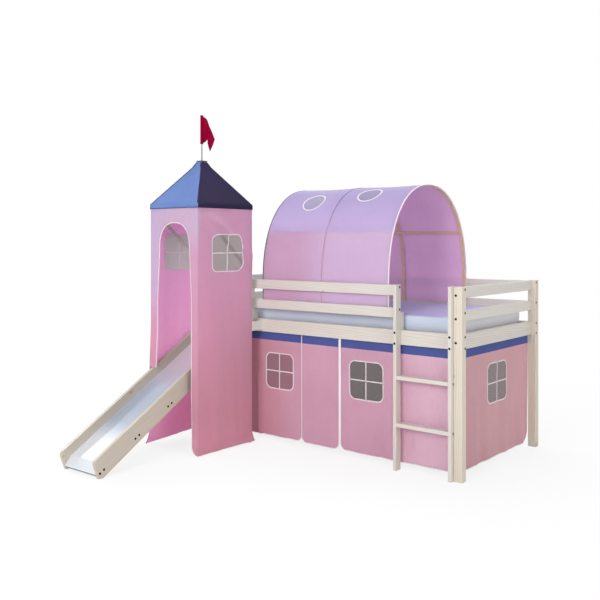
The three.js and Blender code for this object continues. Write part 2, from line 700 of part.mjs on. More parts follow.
// Roof cloth: a short skirt over the walls, then four slopes that sag between the rafters
const roofSideSteps = 4;
const roofRows = [];
const skirtStandoff = clothThickness / 2 + fit;
roofRows.push([skirtStandoff + towerWidth / 2, skirtStandoff + towerDepth / 2, roofEave - roofSkirt, 0]);
roofRows.push([skirtStandoff + towerWidth / 2, skirtStandoff + towerDepth / 2, roofEave, 0]);
for (const [share, sagShare] of roofSlopeShares) {
  roofRows.push([mix(towerWidth / 2, shoulderHalf, share), mix(towerDepth / 2, shoulderHalf, share),
    mix(roofEave, roofShoulder, share), roofSag * sagShare]);
}
roofRows.push([crownHalf - clothThickness, crownHalf - clothThickness, roofTop - clothThickness / 2, 0]);
const roofCorners = [[1, -1], [1, 1], [-1, 1], [-1, -1]];
const roofColumns = roofCorners.length * roofSideSteps;
const roofRow = ([halfX, halfY, z, sag]) => Array.from({ length: roofColumns }, (_, i) => {
  const side = Math.floor(i / roofSideSteps);
  const share = (i % roofSideSteps) / roofSideSteps;
  const [ax, ay] = roofCorners[side];
  const [bx, by] = roofCorners[(side + 1) % roofCorners.length];
  const dip = 1 - sag * Math.sin(Math.PI * share) / halfX;
  return new THREE.Vector3(towerCentre + mix(ax, bx, share) * halfX * (ax === bx ? dip : 1),
    roofCentreY + mix(ay, by, share) * halfY * (ay === by ? dip : 1), z);
});
const roofPoints = roofRows.flatMap(roofRow);
const roofQuads = gridQuads(roofColumns, roofRows.length - 1,
  (i, j) => (roofRows.length - 1 - j) * roofColumns + i % roofColumns);
addPiece('tower_roof_cloth', thicken(roofPoints, roofQuads, clothThickness), blueCloth);

// Tower walls: two sides and an arched front, one sheet whose left strip tucks in beside the slide
const tuckBottom = (-towerFront - slideToeY) * slideRise + slideBoardHeight / Math.cos(slideAngle)
  + tuckClearance;
const tuckTop = tuckBottom + tuckHeight;
const wallRows = [];
for (const share of headShares) wallRows.push({ z: mix(wallTop, archApex, share), half: null });
const archSteps = 7;
for (let i = 0; i <= archSteps; i += 1) {
  const angle = Math.PI / 2 * (1 - i / archSteps);
  wallRows.push({
    z: archSpring + (archApex - archSpring) * Math.sin(angle) ** (2 / archPower),
    half: i === 0 ? 0 : archSpringHalf * Math.cos(angle) ** (2 / archPower),
  });
}
for (const z of [
  archFlareEnd, (archFlareEnd + tuckTop) / 2, tuckTop, mix(tuckTop, tuckBottom, 1 / 3),
  mix(tuckTop, tuckBottom, 2 / 3), tuckBottom, (tuckBottom + hemFlareHeight) / 2, hemFlareHeight,
  hemFlareHeight / 2, wallHem,
]) {
  const share = Math.min(1, (archSpring - z) / (archSpring - archFlareEnd));
  wallRows.push({ z, half: mix(archSpringHalf, archFootHalf, share) });
}
const sideSteps = 6;
const frontSteps = 4;
const wallX = { right: towerRight - clothThickness / 2, left: towerLeft + clothThickness / 2 };
const wallFrontY = -towerFront + clothThickness / 2;
const wallPoint = (side, step, row) => {
  const outward = side === 'right' ? 1 : -1;
  const low = Math.max(0, 1 - row.z / hemFlareHeight);
  const flare = hemFlare * low * low;
  const bulge = side === 'left' ? panelBulge * smooth(-tuckTop, -tuckBottom, -row.z) : 0;
  if (step <= sideSteps) {
    const share = step / sideSteps;
    const rearShare = (1 - share) ** 2;
    const frontShare = share ** 2;
    const cornerShare = side === 'right' ? rearShare : frontShare;
    const ripple = clothThickness * Math.sin(3 * Math.PI * share) * (1 - row.z / wallTop);
    return new THREE.Vector3(
      wallX[side] + outward * (bulge * share + flare * cornerShare) + ripple * share * (1 - share),
      mix(-towerRear - clothThickness / 2, wallFrontY, share), row.z);
  }
  const corner = wallX[side] + outward * (bulge + (side === 'left' ? flare : 0));
  const open = archCentre + outward * (row.half ?? 0);
  const share = (step - sideSteps) / frontSteps;
  const reach = share * Math.abs(open - wallX[side]);
  const turn = side === 'left' ? tuckAngle * smooth(-tuckTop, -tuckBottom, -row.z) : 0;
  return new THREE.Vector3(
    corner - outward * reach * Math.cos(turn), wallFrontY + reach * Math.sin(turn), row.z);
};
const wallPoints = [];
const wallIndex = new Map();
const wallVertex = (side, step, j) => {
  const row = wallRows[j];
  const shared = step === sideSteps + frontSteps && !row.half;
  const key = `${shared ? 'middle' : side} ${step} ${j}`;
  if (!wallIndex.has(key)) wallIndex.set(key, wallPoints.push(wallPoint(side, step, row)) - 1);
  return wallIndex.get(key);
};
const wallQuads = ['right', 'left'].flatMap((side) => gridQuads(sideSteps + frontSteps, wallRows.length - 1,
  (i, j) => wallVertex(side, side === 'right' ? sideSteps + frontSteps - i : i, j)));
addPiece('tower_walls', thicken(wallPoints, wallQuads, clothThickness), pinkCloth);

// Tunnel tent: bent hoops stand inside the guards and carry the cover
const hoopFoot = mattressTop - hoopFootOffset;
const hoopSpring = mattressTop + hoopSpringOffset;
const hoopApex = mattressTop + hoopApexOffset;
const coverHem = mattressTop + coverHemOffset;
const purlinHeight = mattressTop + purlinOffset;
const coverFrontY = guardBack + fit;
const coverRearY = rearRailFront - fit;
const tunnelCentreY = (coverFrontY + coverRearY) / 2;
const tunnelHalf = (coverRearY - coverFrontY) / 2;
const hoopInset = clothThickness + fit;
const hoopLine = (inset, foot, steps) => {
  const line = [new THREE.Vector2(tunnelCentreY - tunnelHalf + inset, foot)];
  for (let i = 0; i <= steps; i += 1) {
    const angle = Math.PI * (1 - i / steps);
    const c = Math.cos(angle);
    const across = Math.sign(c) * Math.abs(c) ** (2 / hoopPower);
    line.push(new THREE.Vector2(tunnelCentreY + (tunnelHalf - inset) * across,
      hoopSpring + (hoopApex - inset - hoopSpring) * Math.sin(angle) ** (2 / hoopPower)));
  }
  line.push(new THREE.Vector2(tunnelCentreY + tunnelHalf - inset, foot));
  return line;
};
const hoopSteps = 28;
const hoopOutline = new THREE.Shape([
  ...hoopLine(hoopInset, hoopFoot, hoopSteps).reverse(),
  ...hoopLine(hoopInset + hoopThickness, hoopFoot, hoopSteps)]);
hoopCentres.forEach((centre, i) => {
  addPiece(`tunnel_hoop_${i + 1}`,
    prism(hoopOutline, 'x', centre - hoopWidth / 2, centre + hoopWidth / 2), bareWood);
});
// Each purlin lies flat against the straight stretch of the hoops that is nearest its height
const hoopInside = hoopLine(hoopInset + hoopThickness, hoopFoot, hoopSteps);
const purlinSpan = [hoopCentres[0] - hoopWidth / 2, hoopCentres[hoopCentres.length - 1] + hoopWidth / 2];
for (const [name, side] of [['front', -1], ['rear', 1]]) {
  const seats = hoopInside.slice(1).map((end, i) => ({ start: hoopInside[i], end }))
    .map(({ start, end }) => ({
      middle: start.clone().add(end).divideScalar(2), along: end.clone().sub(start).normalize() }))
    .filter(({ middle }) => Math.sign(middle.x - tunnelCentreY) === side);
  const { middle, along } = seats.reduce((best, seat) => (
    Math.abs(seat.middle.y - purlinHeight) < Math.abs(best.middle.y - purlinHeight) ? seat : best));
  const standoff = fit + purlinThickness / 2;
  const purlin = board('x', purlinSpan, [-purlinWidth / 2, purlinWidth / 2],
    [-purlinThickness / 2, purlinThickness / 2], purlinEdgeRadius);
  purlin.rotateX(Math.atan2(along.y, along.x));
  purlin.translate(0, middle.x + along.y * standoff, middle.y - along.x * standoff);
  addPiece(`tunnel_purlin_${name}`, purlin, bareWood);
}
const coverBaySteps = 4;
const coverEnds = [hoopCentres[0] - hoopWidth / 2 - coverLip,
  hoopCentres[hoopCentres.length - 1] + hoopWidth / 2 + coverLip];
const coverStations = [{ x: coverEnds[0], sag: 0 }];
hoopCentres.forEach((centre, i) => {
  coverStations.push({ x: centre - hoopWidth / 2, sag: 0 }, { x: centre + hoopWidth / 2, sag: 0 });
  if (i === hoopCentres.length - 1) return;
  const from = centre + hoopWidth / 2;
  const to = hoopCentres[i + 1] - hoopWidth / 2;
  for (let step = 1; step < coverBaySteps; step += 1) {
    const share = step / coverBaySteps;
    coverStations.push({ x: mix(from, to, share), sag: coverSag * Math.sin(Math.PI * share) });
  }
});
coverStations.push({ x: coverEnds[1], sag: 0 });
const coverPoints = coverStations.flatMap(({ x, sag }) =>
  hoopLine(clothThickness / 2 + sag, coverHem, hoopSteps).map((p) => new THREE.Vector3(x, p.x, p.y)));
addPiece('tunnel_cover', thicken(coverPoints,
  gridQuads(hoopSteps + 2, coverStations.length - 1), clothThickness), lilacCloth);

// Play curtains hang behind the rails, flat at the top and rippling lower down
const curtainTop = railBottom + curtainLap;
const rippleAt = (along, z) =>
  curtainRipple * (0.5 - 0.5 * Math.cos(2 * Math.PI * along / rippleLength)) * smooth(-railBottom, 0, -z);
const cornerLift = (distance) => (distance >= curtainCorner ? 0
  : curtainCorner - Math.sqrt(curtainCorner ** 2 - (curtainCorner - distance) ** 2));
const curtain = ({ from, to, heads, place, columns, roundFrom, roundTo, rippleShare = 1 }) => {
  const edgeStops = cornerShares.map((share) => share * curtainCorner);
  const inner = [from + curtainCorner, to - curtainCorner];
  const alongs = edgeStops.map((stop) => from + stop);
  for (let i = 0; i <= columns; i += 1) alongs.push(mix(inner[0], inner[1], i / columns));
  alongs.push(...edgeStops.reverse().map((stop) => to - stop));
  const lastHead = heads[heads.length - 1];
  const rows = heads.length - 1 + curtainRows;
  const points = [];
  for (let j = 0; j <= rows; j += 1) {
    for (const along of alongs) {
      const lift = (roundFrom ? cornerLift(along - from) : 0) + (roundTo ? cornerLift(to - along) : 0);
      const fallShare = (j + 1 - heads.length) / curtainRows;
      const z = fallShare < 0 ? heads[j] : mix(lastHead, curtainHem + lift, fallShare);
      points.push(place(along, z, rippleShare * rippleAt(along - from, z)));
    }
  }
  return thicken(points, gridQuads(alongs.length - 1, rows), curtainThickness);
};
const curtainHeads = [curtainTop, railBottom - curtainThickness];
const frontCurtainY = frontRailBack + fit + curtainThickness / 2;
const inFront = (along, z, ripple) => new THREE.Vector3(along, frontCurtainY + ripple, z);
const frontEnds = endBoardInner - 2 * curtainThickness;
addPiece('curtain_front_left', curtain({
  from: -frontEnds, to: leftSlit - slitGap / 2, heads: curtainHeads,
  place: inFront, columns: 22, roundTo: true,
}), pinkCloth);
addPiece('curtain_front_right', curtain({
  from: rightSlit + slitGap / 2, to: frontEnds, heads: curtainHeads,
  place: inFront, columns: 22, roundFrom: true,
}), pinkCloth);

// The door strip hangs by a corded top hem just under the rail, and lifts there
const doorTop = railBottom - fit - doorCordDiameter / 2;
const doorLineY = frontRailBack - edgeRadius - doorCordDiameter / 2;
const doorEdges = [leftSlit + slitGap / 2, rightSlit - slitGap / 2];
const doorCloth = curtain({
  from: doorEdges[0], to: doorEdges[1], heads: [doorTop], columns: 8, roundFrom: true, roundTo: true,
  rippleShare: doorRippleShare, place: (along, z, ripple) => new THREE.Vector3(along, doorLineY + ripple, z),
});
const doorWidth = doorEdges[1] - doorEdges[0];
const doorCord = new THREE.CylinderGeometry(doorCordDiameter / 2, doorCordDiameter / 2,
  doorWidth - 2 * curtainThickness, 12).rotateZ(Math.PI / 2)
  .translate((doorEdges[0] + doorEdges[1]) / 2, doorLineY, doorTop);
addPiece('curtain_door', join([doorCloth, doorCord]), pinkCloth);

const endCurtainRear = rearRailFront - rearPostGap;
const endCurtainFront = frontRailBack + 4 * curtainThickness + curtainRipple;
for (const [name, side] of [['left', -1], ['right', 1]]) {
  const x = side * (endBoardInner - fit - curtainThickness / 2);
  const place = side > 0
    ? (along, z, ripple) => new THREE.Vector3(x - ripple, along, z)
    : (along, z, ripple) => new THREE.Vector3(x + ripple, endCurtainFront + endCurtainRear - along, z);
  addPiece(`curtain_end_${name}`, curtain({
    from: endCurtainFront, to: endCurtainRear, heads: curtainHeads, place, columns: 16,
    roundTo: side > 0, roundFrom: side < 0,
  }), pinkCloth);
}

// The origin is the middle of the whole footprint, on the floor
const reach = new THREE.Box3().setFromObject(bed);
bed.position.set(-(reach.min.x + reach.max.x) / 2, -(reach.min.y + reach.max.y) / 2, 0);

export default bed;
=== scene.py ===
import math
from itertools import product
import bpy
import numpy
from mathutils import Matrix, Vector
from mathutils.geometry import delaunay_2d_cdt


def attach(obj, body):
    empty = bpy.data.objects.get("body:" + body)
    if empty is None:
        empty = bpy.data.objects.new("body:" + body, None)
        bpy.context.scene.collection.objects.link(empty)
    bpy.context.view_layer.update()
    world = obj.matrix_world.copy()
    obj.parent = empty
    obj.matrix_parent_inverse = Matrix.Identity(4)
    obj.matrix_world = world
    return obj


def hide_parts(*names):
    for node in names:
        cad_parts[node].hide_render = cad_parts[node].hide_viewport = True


# Looks for a white-washed pine loft bed with ladder, slide, play tower, tunnel tent and play curtains.
# Metres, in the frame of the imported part: X along the bed, Y from the slide's foot to the back, Z up.
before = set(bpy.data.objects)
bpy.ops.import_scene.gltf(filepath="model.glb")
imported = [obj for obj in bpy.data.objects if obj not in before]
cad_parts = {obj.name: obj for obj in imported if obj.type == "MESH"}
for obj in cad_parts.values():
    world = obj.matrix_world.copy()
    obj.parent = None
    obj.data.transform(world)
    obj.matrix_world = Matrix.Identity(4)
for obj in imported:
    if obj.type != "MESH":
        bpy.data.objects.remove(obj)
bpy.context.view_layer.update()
bedBody = "bed"
quarter = math.pi / 2
slideAngle = math.radians(30.5)


# Small tools that the pieces share
def hexToLinear(text):
    channels = [int(text[i:i + 2], 16) / 255 for i in (1, 3, 5)]
    return tuple(c / 12.92 if c <= 0.04045 else ((c + 0.055) / 1.055) ** 2.4 for c in channels) + (1.0,)


def feed(tree, node, inputs):
    # A value is a number, a hex colour, a socket, or a node whose first output in use is meant
    for socket, value in inputs.items():
        if isinstance(value, bpy.types.Node):
            value = next(output for output in value.outputs if output.enabled)
        if isinstance(value, bpy.types.NodeSocket):
            tree.links.new(value, node.inputs[socket])
        else:
            node.inputs[socket].default_value = hexToLinear(value) if isinstance(value, str) else value
    return node


def addNode(tree, kind, inputs=None, **settings):
    node = tree.nodes.new("ShaderNode" + kind)
    for name, value in settings.items():
        setattr(node, name, value)
    return feed(tree, node, inputs or {})


def startMaterial(name, roughness, coat=0.0, sheen=0.0):
    material = bpy.data.materials.new(name)
    material.use_nodes = True
    tree = material.node_tree
    shader = feed(tree, tree.nodes["Principled BSDF"], {
        "Roughness": roughness, "Coat Weight": coat, "Coat Roughness": 0.2, "Sheen Weight": sheen,
        "Sheen Roughness": 0.5})
    return material, tree, shader


def applyDyesAndPaintedLight(tree, ground, place, dyesAndPaintedLight):
    # Each colour takes over along its runs: an axis of the object, where the colour starts, and where it is
    # full. Some colours are real dyes and tapes, and some are painted light and painted shade
    spot = addNode(tree, "SeparateXYZ", {0: place})
    for runs, colour in dyesAndPaintedLight:
        share = 1.0
        for axis, start, full in runs:
            rise = addNode(tree, "MapRange", {
                "Value": spot.outputs[axis], "From Min": start, "From Max": full},
                interpolation_type="SMOOTHSTEP")
            share = addNode(tree, "Math", {0: rise, 1: share}, operation="MULTIPLY")
        ground = addNode(tree, "Mix", {0: share, 6: ground, 7: colour}, data_type="RGBA")
    return ground


def smoothStep(start, end, value):
    share = min(1.0, max(0.0, (value - start) / (end - start)))
    return share * share * (3 - 2 * share)


def bell(value, centre, width):
    return math.exp(-((value - centre) / width) ** 2)


def settle(piece, body=bedBody, standsFor=None):
    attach(piece, body)
    if standsFor:
        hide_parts(standsFor)


def link(name, data):
    obj = bpy.data.objects.new(name, data)
    bpy.context.scene.collection.objects.link(obj)
    return obj


def selectOnly(obj):
    bpy.ops.object.select_all(action="DESELECT")
    obj.select_set(True)
    bpy.context.view_layer.objects.active = obj


# Wood finishes: rings as soft stripes along the board, fibres as a fine relief, and a few knots
def grainCoordinates(tree, turn, stretch):
    # The grain is turned on to local X, and every board gets its own cut out of the tree
    place = addNode(tree, "TexCoord").outputs["Object"]
    own = addNode(tree, "ObjectInfo").outputs["Random"]
    shift = addNode(tree, "VectorMath", {0: (3.1, 5.7, 4.3), "Scale": own}, operation="SCALE")
    moved = addNode(tree, "VectorMath", {0: place, 1: shift}, operation="ADD")
    turned = addNode(tree, "Mapping", {"Vector": moved, "Rotation": turn})
    return addNode(tree, "Mapping", {"Vector": turned, "Scale": stretch})


def waveScale(period):
    return math.pi / (10 * period)  # Blender's band wave runs 20 / (2 pi) times in each unit


def makeWood(name, wood, turn):
    material, tree, shader = startMaterial(name, wood["roughness"], wood["coat"])
    along = grainCoordinates(tree, turn, (0.03, 1, 1))
    rings = addNode(tree, "TexWave", {
        "Vector": along, "Scale": 2 * waveScale(wood["ringGap"]), "Distortion": 5.5, "Detail": 2.0,
        "Detail Scale": 0.7, "Detail Roughness": 0.55}, bands_direction="DIAGONAL").outputs["Fac"]
    fibres = addNode(tree, "TexNoise", {
        "Vector": along, "Scale": 1 / wood["fibreGap"], "Detail": 3.0, "Roughness": 0.6})
    clouds = addNode(tree, "TexNoise", {"Vector": along, "Scale": 9.0, "Detail": 2.0})
    cells = addNode(tree, "TexVoronoi", {"Vector": grainCoordinates(tree, turn, (4.2, 6, 6)), "Scale": 1.0})
    late = addNode(tree, "Math", {0: rings, 1: 2.2}, operation="POWER")
    washed = addNode(tree, "MapRange", {"Value": clouds, "From Min": 0.4, "From Max": 0.75, "To Max": 0.7})
    streaks = addNode(tree, "MapRange", {"Value": fibres, "From Min": 0.55, "From Max": 0.8, "To Max": 0.5})
    knots = addNode(tree, "MapRange", {
        "Value": cells, "From Min": 0.04, "From Max": 0.075, "To Min": 1.0, "To Max": 0.0})
    colour = wood["early"]
    for share, tint in ((late, "late"), (washed, "wash"), (streaks, "late"), (knots, "knot")):
        colour = addNode(tree, "Mix", {0: share, 6: colour, 7: wood[tint]}, data_type="RGBA")
    colour = applyDyesAndPaintedLight(tree, colour, addNode(tree, "TexCoord").outputs["Object"], wood.get("dyesAndPaintedLight", ()))
    relief = addNode(tree, "Math", {0: fibres, 1: rings}, operation="ADD")
    bump = addNode(tree, "Bump", {"Strength": 0.35, "Distance": 0.00025, "Height": relief})
    feed(tree, shader, {"Base Color": colour, "Normal": bump})
    return material


def makeBentWood(name, wood, middle):
    # The hoops are bent, so their grain runs round the tunnel's middle
    material, tree, shader = startMaterial(name, wood["roughness"], wood["coat"])
    place = addNode(tree, "SeparateXYZ", {0: addNode(tree, "TexCoord").outputs["Object"]})
    across, above = (addNode(tree, "Math", {0: place.outputs[axis], 1: centre}, operation="SUBTRACT")
                     for axis, centre in zip("YZ", middle))
    turn = addNode(tree, "Math", {0: above, 1: across}, operation="ARCTAN2")
    grain = addNode(tree, "CombineXYZ", {0: turn, 1: place.outputs["X"]})
    stretched = addNode(tree, "Mapping", {"Vector": grain, "Scale": (0.5, 9, 1)})
    fibres = addNode(tree, "TexNoise", {"Vector": stretched, "Scale": 26.0, "Detail": 4.0})
    share = addNode(tree, "MapRange", {"Value": fibres, "From Min": 0.35, "From Max": 0.7})
    colour = addNode(tree, "Mix", {0: share, 6: wood["early"], 7: wood["late"]}, data_type="RGBA")
    bump = addNode(tree, "Bump", {"Strength": 0.3, "Distance": 0.0002, "Height": fibres})
    feed(tree, shader, {"Base Color": colour, "Normal": bump})
    return material


grainTurns = {"x": (0, 0, 0), "y": (0, 0, -quarter), "z": (0, quarter, 0)}
slideTurn = (-slideAngle, 0, -quarter)
braceTurn = (math.radians(43), 0, -quarter)

# Pine, planed, rubbed with white wash and varnished: pale rings still show through
whitewashedPine = {
    "early": "#D4CFC7", "late": "#C4BBB0", "wash": "#DAD6D1", "knot": "#AE967C",
    "ringGap": 0.011, "fibreGap": 0.0022, "roughness": 0.46, "coat": 0.12}
pine = {way: makeWood(f"whitewashedPine_{way}", whitewashedPine, turn) for way, turn in grainTurns.items()}
postPine = makeWood("whitewashedPinePost", {
    **whitewashedPine, "early": "#D5CBBC", "late": "#C5B9A8", "wash": "#DAD2C6"}, grainTurns["z"])
# The slide's sides took less wash, so more of the wood's own yellow shows
slidePine = makeWood("whitewashedPineSlide", {
    **whitewashedPine, "early": "#C3BAAC", "late": "#B2A797", "wash": "#C9C1B5"}, slideTurn)
# The tower's braces took more, so they are nearly white
bracePine = makeWood("whitewashedPine_brace", {
    **whitewashedPine, "early": "#F0E9E4", "late": "#E4DAD2", "wash": "#F5F0EC"}, braceTurn)

# Pine for the slats, planed and left bare, so it is yellower and dull. Two woven tapes hold them
slatRoll = {
    "tapeHalf": 0.0126, "tapeTop": 0.81562, "tapeLines": (0.35, 0.952), "tape": "#DAD5C8", "edge": 0.0001}
tapeDyes = []
for line in slatRoll["tapeLines"]:
    rim, inner = slatRoll["tapeHalf"], slatRoll["tapeHalf"] - slatRoll["edge"]
    tapeDyes.append(([("Y", line - rim, line - inner), ("Y", line + rim, line + inner),
                      ("Z", slatRoll["tapeTop"], slatRoll["tapeTop"] - slatRoll["edge"])], slatRoll["tape"]))
slatPine = makeWood("barePine", {
    "early": "#DCC6A4", "late": "#C4A178", "wash": "#E2D0B4", "knot": "#946B46", "ringGap": 0.009,
    "fibreGap": 0.002, "roughness": 0.68, "coat": 0.0, "dyesAndPaintedLight": tapeDyes}, grainTurns["y"])

# Beech laths and bent laminated strips under a thin varnish: close, even grain with a warm tint
beech = {
    "early": "#DDBDA6", "late": "#CCA78D", "wash": "#E2C8B3", "knot": "#C29C80",
    "ringGap": 0.006, "fibreGap": 0.0016, "roughness": 0.42, "coat": 0.15}
lathBeech = makeWood("beechLath", beech, grainTurns["x"])
hoopBeech = makeBentWood("bentBeech", beech, (0.6389, 1.127))


# Plastics, board and metal
def makePlain(name, colour, shade, mottle, roughness, grit, relief, coat=0.0, metallic=0.0, dyesAndPaintedLight=()):
    # One plain moulded or plated surface: a little mottling in colour, and grit so many metres wide
    material, tree, shader = startMaterial(name, roughness, coat)
    place = addNode(tree, "TexCoord").outputs["Object"]
    patches = addNode(tree, "TexNoise", {"Vector": place, "Scale": mottle, "Detail": 3.0})
    ground = addNode(tree, "Mix", {0: patches, 6: colour, 7: shade}, data_type="RGBA")
    grains = addNode(tree, "TexNoise", {"Vector": place, "Scale": 1 / grit})
    bump = addNode(tree, "Bump", {"Strength": relief, "Distance": grit * 0.3, "Height": grains})
    feed(tree, shader, {"Base Color": applyDyesAndPaintedLight(tree, ground, place, dyesAndPaintedLight), "Normal": bump, "Metallic": metallic})
    return material


# Melamine-faced board: hard, white and glossy enough to slide on. Its colour holds painted light and shade: a
# pink painted reflection of the cloth towards the tower, a near-white painted highlight towards the foot, and
# painted shade on the toe's front edge
slideLaminate = makePlain(
    "melamineBoardPaintedLight", "#ACB6C8", "#A4AFC2", mottle=3.0, roughness=0.15, grit=0.0012, relief=0.03, coat=0.4,
    dyesAndPaintedLight=[([("Y", -0.6, -0.3)], "#D2C4D2"), ([("Y", -0.82, -1.0)], "#D8DCE2"),
          ([("Z", 0.0246, 0.023)], "#6A6F6E")])
# Moulded polypropylene cap: dull, with the fine grain of its mould
capPlastic = makePlain(
    "mouldedPolypropylene", "#4D4C5C", "#3E3D4C", mottle=40.0, roughness=0.45, grit=0.0012, relief=0.25)
# Extruded rod: smooth, with a soft shine
rodPlastic = makePlain(
    "extrudedPvcRod", "#949090", "#888485", mottle=30.0, roughness=0.3, grit=0.0016, relief=0.08)
# Steel with black zinc plating: nearly black and satin
boltSteel = makePlain(
    "blackZincSteel", "#0A0809", "#120E10", mottle=300.0, roughness=0.55, grit=0.0008, relief=0.2, metallic=0.3)


# Cloth finishes: the map "flat" holds metres of cloth, and "hem" the distance in from its edge
def weave(tree, flat, gap, operation):
    ways = [addNode(tree, "TexWave", {"Vector": flat, "Scale": waveScale(gap)}, bands_direction=way)
            for way in "XY"]
    return addNode(tree, "Math", {i: way.outputs["Fac"] for i, way in enumerate(ways)}, operation=operation)


def makeCotton(name, colour, shade, slub, dyesAndPaintedLight=(), stitch=0.012, crease=0.3, sheen=0.15, gloss=0.25, glow=1.0,
               hem=None):
    # The colour fades to the shade in patches and has slubs in it. hem is the colour and width of a darker band
    # along the edge
    material, tree, shader = startMaterial(name, 0.88, 0.0, sheen)
    flat = addNode(tree, "UVMap", uv_map="flat")
    edge = addNode(tree, "SeparateXYZ", {0: addNode(tree, "UVMap", uv_map="hem")}).outputs["X"]
    place = addNode(tree, "TexCoord").outputs["Object"]
    # Plain weave: the real threads are 0.4 mm apart, and are drawn at 1.8 mm so that they show close up
    threads = weave(tree, flat, 0.0018, "MULTIPLY")
    fade = addNode(tree, "TexNoise", {"Vector": place, "Scale": 2.6, "Detail": 2.0})
    slubPlace = addNode(tree, "Mapping", {"Vector": flat, "Scale": (1, 0.05, 1)})
    slubs = addNode(tree, "TexNoise", {"Vector": slubPlace, "Scale": 320.0, "Detail": 2.0})
    fadeShare = addNode(tree, "MapRange", {"Value": fade, "From Min": 0.3, "From Max": 0.7})
    slubShare = addNode(tree, "MapRange", {"Value": slubs, "From Min": 0.5, "From Max": 0.8, "To Max": 0.3})
    fromStitch = addNode(tree, "Math", {0: edge, 1: stitch}, operation="SUBTRACT")
    reach = addNode(tree, "Math", {0: fromStitch}, operation="ABSOLUTE")
    sewn = addNode(tree, "MapRange", {
        "Value": reach, "From Min": 0.0006, "From Max": 0.002, "To Min": 1.0, "To Max": 0.0})
    sewnShare = addNode(tree, "Math", {0: sewn, 1: 0.35}, operation="MULTIPLY")
    ground = addNode(tree, "Mix", {0: fadeShare, 6: colour, 7: shade}, data_type="RGBA")
    ground = applyDyesAndPaintedLight(tree, ground, place, dyesAndPaintedLight)
    for share in (slubShare, sewnShare):
        ground = addNode(tree, "Mix", {0: share, 6: ground, 7: slub}, data_type="RGBA")
    if hem:  # darker along the edge; on the roof's skirt this is painted shade
        onHem = addNode(tree, "MapRange", {
            "Value": edge, "From Min": 0.7 * hem[1], "From Max": hem[1], "To Min": 0.8, "To Max": 0.0})
        ground = addNode(tree, "Mix", {0: onHem, 6: ground, 7: hem[0]}, data_type="RGBA")
    creases = addNode(tree, "TexNoise", {"Vector": place, "Scale": 7.0, "Detail": 4.0, "Roughness": 0.45})
    soft = addNode(tree, "Bump", {"Strength": crease, "Distance": 0.006, "Height": creases})
    hemmed = addNode(tree, "Bump", {
        "Strength": 0.8, "Distance": 0.0006, "Height": sewn, "Normal": soft}, invert=True)
    woven = addNode(tree, "Bump", {"Strength": 0.35, "Distance": 0.0003, "Height": threads, "Normal": hemmed})
    # Light from behind comes through the weave, so it strays further than the cloth is thick
    feed(tree, shader, {
        "Base Color": ground, "Normal": woven, "Specular IOR Level": gloss, "Subsurface Weight": glow,
        "Subsurface Radius": (1.0, 0.8, 0.95), "Subsurface Scale": 0.007})
    return material


# Plain woven cotton, dyed: dull, with a soft bloom where it turns away, and thin enough to glow
# The front curtains are lighter towards the ladder end, which is painted light where the ladder and post shade
# them. Towards the tower they are redder and darker: a redder pink, plus painted shade of the folds there
curtainCotton = makeCotton("pinkCotton", "#C79BAD", "#BE92A3", "#B07D90", dyesAndPaintedLight=[
    ([("X", -0.12, -0.6)], "#BF8490"), ([("X", 0.45, 0.9)], "#DBB0C2")])
endCotton = makeCotton("pinkCottonEnd", "#C6999F", "#BD9098", "#AE7E86")
# The curtains' inside is a lighter copy of their cloth: painted light for the dim den behind them
curtainInside = makeCotton("pinkCottonInsidePaintedLight", "#DBA3BB", "#D49AB4", "#C086A0")
# The tower cloth is lighter and more lilac towards the top. On the front, the lilac patch above the arch and
# the one on the strip left of it are a painted sheen
towerCotton = makeCotton("towerCotton", "#C68C9C", "#C08595", "#B07587", dyesAndPaintedLight=[
    ([("Z", 0.1, 1.5)], "#C294AE"), ([("Y", -0.44, -0.474), ("Z", 1.25, 1.5)], "#BBA2BB"),
    ([("Y", -0.44, -0.474), ("X", -0.8, -0.87), ("Z", 0.8, 1.15)], "#B9A2C0")])
# The walls' inside is a lighter copy of the tower cloth, more lilac towards the top: painted light for the
# light that comes through the walls
towerInside = makeCotton("towerCottonInsidePaintedLight", "#E2AABF", "#DCA2B7", "#C88EA3", dyesAndPaintedLight=[
    ([("Z", 0.1, 1.3)], "#DCB0CC")])
# The tunnel cloth is lighter and more lilac towards the right and above the purlin line, and darker towards the
# crown. The darker crown is painted shade
tunnelCotton = makeCotton("tunnelCotton", "#BC98B2", "#C09CB6", "#B08CAC", dyesAndPaintedLight=[
    ([("X", -0.25, 0.15)], "#C4ABC9"), ([("Z", 1.435, 1.48)], "#B4A4CC"), ([("Z", 1.5, 1.77)], "#8C82AC")])
# The tunnel's inside is a lighter copy of its cloth: painted light for the dim inside
tunnelInside = makeCotton("tunnelCottonInsidePaintedLight", "#E2B8DC", "#DAB0D4", "#C49ABE", glow=0.3)
# Closer woven and darkly dyed, so little light comes through
blueCotton = makeCotton("blueCotton", "#4C5896", "#444F8C", "#38437C", sheen=0.02, glow=0.2)
# The sky blue's dark hem along the skirt's foot is painted shade: the shadow line under the eave
roofBlue = makeCotton(
    "skyBlueCotton", "#6A84BF", "#5C76B2", "#4C669E", sheen=0.04, glow=0.2, hem=("#3A4476", 0.008))
roofIndigo = makeCotton("indigoCotton", "#322A4A", "#29223E", "#1E1832", sheen=0.0, glow=0.1, gloss=0.15)
crimsonCotton = makeCotton("crimsonCotton", "#98042F", "#860229", "#5A011E", stitch=0.004, crease=0.15,
                           sheen=0.0, glow=0.2, gloss=0.04, hem=("#4A021A", 0.008))
# Folded binding tape, sewn down flat: its stitch distance lies outside it, so no stitches are drawn
paleBinding = makeCotton("paleBinding", "#ECDFE5", "#E5D7DE", "#D4C4CC", stitch=0.5)
